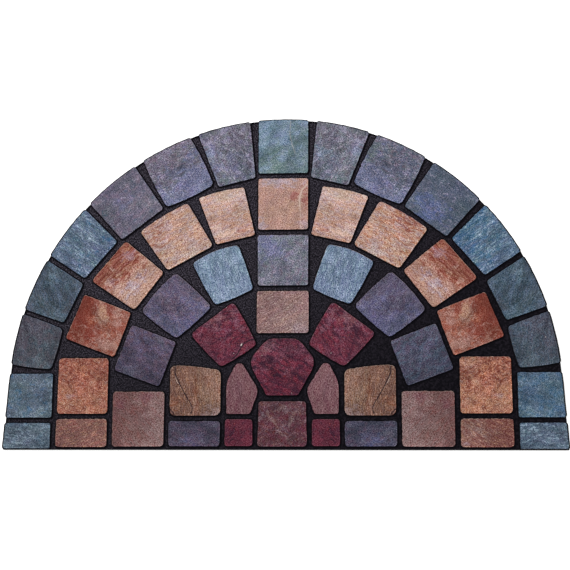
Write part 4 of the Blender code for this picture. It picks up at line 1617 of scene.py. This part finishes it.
def dotted(obj: bpy.types.Object, test: Callable[[Element], bool]) -> kdtree.KDTree:
    """Points a millimetre apart along the edges that pass a test, for looking up the nearest.

    Args:
        obj: The object, in object mode.
        test: Says whether an edge is dotted.

    Returns:
        The tree of points.
    """
    mesh = bmesh.new()
    mesh.from_mesh(obj.data)
    points = []
    for edge in filter(test, mesh.edges):
        start, end = (vert.co for vert in edge.verts)
        steps = max(1, math.ceil(edge.calc_length() / MM))
        points.extend(start.lerp(end, step / steps) for step in range(steps + 1))
    mesh.free()
    tree = kdtree.KDTree(len(points))
    for place, point in enumerate(points):
        tree.insert(point, place)
    tree.balance()
    return tree


@dataclass
class Slab:
    """The rubber slab: the joints between the stones, the edge and the underside.

    The band of painted shade at a stone's foot is painted_shade_front wide, and painted_shadow_behind on
    the side away from the lamp, where it is a painted shadow. Points past painted_shade_reach count as
    unshaded_widths of it away.
    """

    crumb_grid: float = 1.3 * MM
    crumb_height: float = 0.22 * MM
    crumb_size: float = 4.2 * MM
    crumb_fractal: tuple[float, float, int] = (0.6, 2.2, 3)
    crumb_foot: float = 2.0 * MM
    crumb_margin: float = 2.0 * MM
    core_height: float = 3.5 * MM
    joint_foot: float = 1.5 * MM
    painted_shade_front: float = 1.4 * MM
    painted_shadow_behind: float = 3.5 * MM
    painted_shade_reach: float = 5.0 * MM
    unshaded_widths: float = 2.0
    name: str = "rubber_slab"

    def build(self) -> bpy.types.Object:
        """Make the slab as one closed mesh.

        Returns:
            The slab, dressed.
        """
        core = self.core()
        joints, feet = self.joints()
        apply_modifier(joints, "BOOLEAN", operation="INTERSECT", solver="MANIFOLD", object=self.crumb())
        apply_modifier(core, "BOOLEAN", operation="UNION", solver="MANIFOLD", object=joints)
        for used in [obj for obj in bpy.data.objects if obj.name.startswith("maker_")]:
            bpy.data.objects.remove(used)
        self.measure_feet(core, feet)
        smooth(core)
        self.dress(core)
        return core

    def core(self) -> bpy.types.Object:
        """Cut the whole mat off below the joints' floor.

        Returns:
            What is left of the mat.
        """
        core = merged_copy(self.name)
        bpy.ops.object.mode_set(mode="EDIT")
        bpy.ops.mesh.select_all(action="SELECT")
        cut = {"plane_co": (0.0, 0.0, self.core_height), "plane_no": (0.0, 0.0, 1.0)}
        bpy.ops.mesh.bisect(**cut, use_fill=True, clear_outer=True)
        bpy.ops.object.mode_set(mode="OBJECT")
        return core

    def joints(self) -> tuple[bpy.types.Object, kdtree.KDTree]:
        """Make upright walls round the joints, higher and lower than their floor.

        Returns:
            The walled joints, and points along the feet of the stones for looking up.
        """
        whole = merged_copy("maker_whole")
        bpy.ops.object.mode_set(mode="EDIT")
        choose(whole, lambda face: between(face, JOINT_HEIGHT, JOINT_HEIGHT), "FACE")
        joints = parted("SELECTED")[0]
        joints.name = "maker_joints"
        feet = dotted(joints, lambda edge: edge.is_boundary)
        apply_modifier(joints, "SOLIDIFY", thickness=2 * (JOINT_HEIGHT - self.joint_foot), offset=0.0)
        return joints, feet

    def crumb(self) -> bpy.types.Object:
        """Make a fine grid as large as the mat, raised in grains and given thickness.

        Returns:
            The grid.
        """
        (left_end, near, _), (right_end, far, _) = cad_box
        bpy.ops.mesh.primitive_grid_add(
            x_subdivisions=round((right_end - left_end) / self.crumb_grid),
            y_subdivisions=round((far - near) / self.crumb_grid),
            size=1.0,
            location=((left_end + right_end) / 2, (near + far) / 2, JOINT_HEIGHT),
        )
        grid = bpy.context.object
        grid.name = "maker_crumb"
        margin = 2 * self.crumb_margin
        grid.scale = (right_end - left_end + margin, far - near + margin, 1.0)
        bpy.ops.object.transform_apply(location=True, rotation=False, scale=True)
        for vert in grid.data.vertices:
            place = vert.co / self.crumb_size
            vert.co.z += self.crumb_height * noise.fractal(place, *self.crumb_fractal)
        apply_modifier(grid, "SOLIDIFY", thickness=JOINT_HEIGHT - self.crumb_foot, offset=-1.0)
        return grid

    def measure_feet(self, slab: bpy.types.Object, feet: kdtree.KDTree) -> None:
        """Store how many widths of the band of painted shade each of the slab's points is from a foot.

        Args:
            slab: The slab.
            feet: Points along the feet of the stones.
        """
        widths = slab.data.attributes.new(PAINTED_SHADE_WIDTHS, "FLOAT", "POINT")
        for vert, width in zip(slab.data.vertices, widths.data):
            flat = Vector((vert.co.x, vert.co.y, JOINT_HEIGHT))
            found = feet.find_range(flat, self.painted_shade_reach)
            arms = (flat - foot for foot, _, _ in found)
            width.value = min(map(self.painted_shade_widths, arms), default=self.unshaded_widths)

    def painted_shade_widths(self, arm: Vector) -> float:
        """How many widths of the band of painted shade a point is from a foot.

        Args:
            arm: The way from the foot to the point.

        Returns:
            The number of widths.
        """
        if arm.length < NEAR:
            return 0.0
        # Painted shadow: the shaded band is wider behind the stone from the lamp.
        behind = max(0.0, -arm.normalized().dot(LAMP_SIDE))
        return arm.length / (self.painted_shade_front + (self.painted_shadow_behind - self.painted_shade_front) * behind)

    def dress(self, slab: bpy.types.Object) -> None:
        """Give the slab its two rubbers: bare below, fibre-dusted with painted light and shade on top.

        Args:
            slab: The slab.
        """
        slab.data.materials.clear()
        slab.data.materials.append(CrumbRubber().material())
        slab.data.materials.append(CrumbRubber(3.4, 2.2, pressed=True).material())
        for face in slab.data.polygons:
            face.material_index = int(face.normal.z < -0.5)
        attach(slab, BODY)
        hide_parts(NODE)


@dataclass
class Paving:
    """The raised stones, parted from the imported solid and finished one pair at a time.

    same_place is how far a parted stone's middle may be from the one in the table.
    """

    grid: float = 1.7 * MM
    rounding: float = 0.55 * MM
    rounding_steps: int = 2
    foot: float = 3.2 * MM
    waver: float = 0.4 * MM
    waver_size: float = 9.0 * MM
    same_place: float = 8.0 * MM

    def build(self) -> list[bpy.types.Object]:
        """Make every stone.

        Returns:
            The finished pieces, one for each single stone and each mirrored pair.
        """
        tops, rim = self.tops(), self.rim()
        pieces = []
        for stone in STONES:
            top = min(tops, key=lambda obj: self.away(obj, stone))
            if self.away(top, stone) > self.same_place:
                raise ValueError(f"no stone of the packed mat is near {stone.name}")
            tops.remove(top)
            pieces.append(self.finish(top, stone, rim))
        for mirrored in tops:
            bpy.data.objects.remove(mirrored)
        return pieces

    def away(self, top: bpy.types.Object, stone: Stone) -> float:
        """How far a parted stone's middle is from a named one's."""
        return (self.middle(top) - Vector((stone.x * MM, stone.y * MM))).length

    def middle(self, top: bpy.types.Object) -> Vector:
        """Find the middle of a stone's box, seen from above.

        Args:
            top: The stone.

        Returns:
            X and Y of the middle.
        """
        xs = [vert.co.x for vert in top.data.vertices]
        ys = [vert.co.y for vert in top.data.vertices]
        return Vector(((min(xs) + max(xs)) / 2, (min(ys) + max(ys)) / 2))

    def tops(self) -> list[bpy.types.Object]:
        """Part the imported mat's stones.

        Returns:
            The face and shoulder of each stone, as objects of their own.
        """
        whole = merged_copy("maker_stones")
        bpy.ops.object.mode_set(mode="EDIT")
        choose(whole, lambda face: not between(face, WALL_TOP, THICKNESS), "FACE")
        bpy.ops.mesh.delete(type="FACE")
        bpy.ops.mesh.select_all(action="SELECT")
        return [whole, *parted("LOOSE")]

    def rim(self) -> kdtree.KDTree:
        """Dot the mat's lower edge.

        Returns:
            The points along it, for looking up.
        """
        whole = merged_copy("maker_edge")
        rim = dotted(whole, lambda edge: between(edge, 0.0, 0.0))
        bpy.data.objects.remove(whole)
        return rim

    def finish(self, top: bpy.types.Object, stone: Stone, rim: kdtree.KDTree) -> bpy.types.Object:
        """Round, grid, raise and print one stone, and mirror it if it has a fellow.

        Args:
            top: The stone's face and shoulder.
            stone: Its name and print.
            rim: Points along the mat's edge.

        Returns:
            The finished piece.
        """
        middle = self.middle(top)
        top.name = top.data.name = f"stone_{stone.name}"
        select_only(top)
        bpy.ops.object.mode_set(mode="EDIT")
        self.round_shoulder(top)
        self.lay_grid(top)
        self.draw_sides(top)
        bpy.ops.object.mode_set(mode="OBJECT")
        distances = top.data.attributes.new(RIM_DISTANCE, "FLOAT", "POINT")
        for vert, distance in zip(top.data.vertices, distances.data):
            distance.value = rim.find((vert.co.x, vert.co.y, 0.0))[2]
        self.raise_relief(top, stone.finish.relief, middle)
        if stone.paired:
            apply_modifier(top, "MIRROR", use_axis=(True, False, False), use_mirror_merge=False)
        self.sink_cracks(top, stone, middle)
        smooth(top)
        top.data.materials.clear()
        top.data.materials.append(stone.finish.material(stone.name, middle, stone.paired))
        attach(top, BODY)
        log.info("%s: %d faces", top.name, len(top.data.polygons))
        return top

    def round_shoulder(self, top: bpy.types.Object) -> None:
        """Bevel the rim of the face, which the solid has as a plain chamfer."""
        choose(top, lambda edge: len(edge.link_faces) == 2 and between(edge, THICKNESS, THICKNESS), "EDGE")
        bpy.ops.mesh.bevel(offset=self.rounding, segments=self.rounding_steps)

    def lay_grid(self, top: bpy.types.Object) -> None:
        """Cut the stone's face both ways, so that it has points to raise.

        Args:
            top: The stone, in edit mode.
        """
        for axis in (0, 1):
            mesh = bmesh.from_edit_mesh(top.data)
            values = [vert.co[axis] for vert in mesh.verts]
            first, last = min(values), max(values)
            cuts = max(2, round((last - first) / self.grid))
            normal = tuple(float(axis == i) for i in range(3))
            for cut in range(1, cuts):
                place = first + (last - first) * cut / cuts
                bpy.ops.mesh.select_all(action="SELECT")
                bpy.ops.mesh.bisect(plane_co=tuple(place * n for n in normal), plane_no=normal)

    def draw_sides(self, top: bpy.types.Object) -> None:
        """Extrude the open rim down into the slab and close it below.

        Args:
            top: The stone, in edit mode.
        """
        choose(top, lambda edge: len(edge.link_faces) == 1, "EDGE")
        drop = (0.0, 0.0, self.foot - WALL_TOP)
        bpy.ops.mesh.extrude_edges_move(TRANSFORM_OT_translate={"value": drop})
        bpy.ops.mesh.edge_face_add()

    def raise_relief(self, top: bpy.types.Object, relief: Relief, middle: Vector) -> None:
        """Move the stone's points up and down by its relief, and its outline in and out a little.

        Args:
            top: The stone.
            relief: The relief of its face.
            middle: The stone's middle.
        """
        for vert in top.data.vertices:
            place = Vector((vert.co.x, vert.co.y, 0.0)) / self.waver_size
            push = noise.noise_vector(place) * self.waver
            x, y = (vert.co.x - middle.x) / MM, (vert.co.y - middle.y) / MM
            face = min(1.0, max(0.0, (vert.co.z - WALL_TOP) / (THICKNESS - WALL_TOP)))
            vert.co.x += push.x
            vert.co.y += push.y
            vert.co.z += relief.rise(x, y) * MM * face

    def sink_cracks(self, top: bpy.types.Object, stone: Stone, middle: Vector) -> None:
        """Draw the face's points down along the stone's cracks.

        Args:
            top: The stone, or the pair of them.
            stone: Its cracks.
            middle: The middle of the right-hand stone.
        """
        for crack in stone.finish.cracks:
            for vert in top.data.vertices:
                if vert.co.z < WALL_TOP or vert.co.x * crack.side.value < 0:
                    continue
                across = abs(vert.co.x) if stone.paired else vert.co.x
                place = (Vector((across, vert.co.y)) - middle) / MM
                vert.co.z -= crack.sunk(place) * MM


@dataclass
class Studio:
    """Plain pale floor, soft light from the far left, and the camera."""

    camera_place: tuple[float, float, float] = (0.128, -0.3835, 1.958)
    camera_target: tuple[float, float, float] = (0.0040, -0.0084, 0.008)
    camera_roll: float = 0.245
    lens: float = 75.8
    sensor: float = 36.0
    light_place: tuple[float, float, float] = (-2.2, 1.9, 6.0)
    light_size: float = 1.5
    light_power: float = 220.0
    sky: float = 0.66
    table_glow: float = 0.55
    table_tone: tuple[float, float] = (0.93, 0.95)
    table_cloud: float = 0.4
    table_roughness: float = 0.9
    table_grain: float = 0.1 * MM
    table_width: float = 9.0
    table_drop: float = 0.2 * MM

    def build(self) -> None:
        """Make the floor, the lights and the camera."""
        self.floor()
        self.light()
        self.camera()
        bpy.context.scene.view_settings.view_transform = "Standard"

    def floor(self) -> None:
        """A pale table top, lit from below as for a catalogue, so that shadows on it stay faint."""
        bpy.ops.mesh.primitive_plane_add(size=self.table_width, location=(0.0, 0.0, -self.table_drop))
        floor = bpy.context.object
        floor.name = "studio_floor"
        bpy.ops.object.transform_apply(location=True, rotation=False, scale=False)
        shade = Shading("lit_white_acrylic")
        place = shade.laid(shade.object_place, size=(self.table_cloud, self.table_cloud))
        tone = shade.ramp(shade.noise(place).outputs[0], 0.3, 0.7, *self.table_tone)
        colour = shade.node("ShaderNodeCombineColor", {0: tone, 1: tone, 2: tone})
        finish = (colour.outputs[0], self.table_roughness, tone, self.table_grain)
        shade.finish(*finish, glow=self.table_glow)
        floor.data.materials.append(shade.material)

    def light(self) -> None:
        """A large soft lamp at the far left, and an even sky."""
        lamp = bpy.data.lights.new("soft_lamp", "AREA")
        lamp.energy = self.light_power
        lamp.shape = "DISK"
        lamp.size = self.light_size
        obj = bpy.data.objects.new("soft_lamp", lamp)
        bpy.context.scene.collection.objects.link(obj)
        place = Vector(self.light_place)
        turn = (-place).to_track_quat("-Z", "Y").to_matrix().to_4x4()
        obj.matrix_world = Matrix.Translation(place) @ turn
        world = bpy.data.worlds.new("pale_studio")
        world.use_nodes = True
        background = world.node_tree.nodes["Background"]
        background.inputs["Color"].default_value = (1.0, 1.0, 1.0, 1.0)
        background.inputs["Strength"].default_value = self.sky
        bpy.context.scene.world = world

    def camera(self) -> None:
        """The camera at the photograph's viewing angle."""
        place, target = Vector(self.camera_place), Vector(self.camera_target)
        forward = (target - place).normalized()
        across = forward.cross(Vector((0.0, 1.0, 0.0))).normalized()
        up = across.cross(forward)
        turn = Matrix((across, up, -forward)).transposed().to_4x4()
        roll = Matrix.Rotation(math.radians(self.camera_roll), 4, "Z")
        data = bpy.data.cameras.new("photo_camera")
        data.lens = self.lens
        data.sensor_width = self.sensor
        camera = bpy.data.objects.new("photo_camera", data)
        bpy.context.scene.collection.objects.link(camera)
        camera.matrix_world = Matrix.Translation(place) @ turn @ roll
        bpy.context.scene.camera = camera


def main() -> None:
    """Build the doormat and the studio, and report each piece."""
    logging.basicConfig(level=logging.INFO, format="%(name)s %(message)s")
    Studio().build()
    slab = Slab().build()
    log.info("%s: %d faces", slab.name, len(slab.data.polygons))
    stones = Paving().build()


if __name__ == "__main__":
    main()
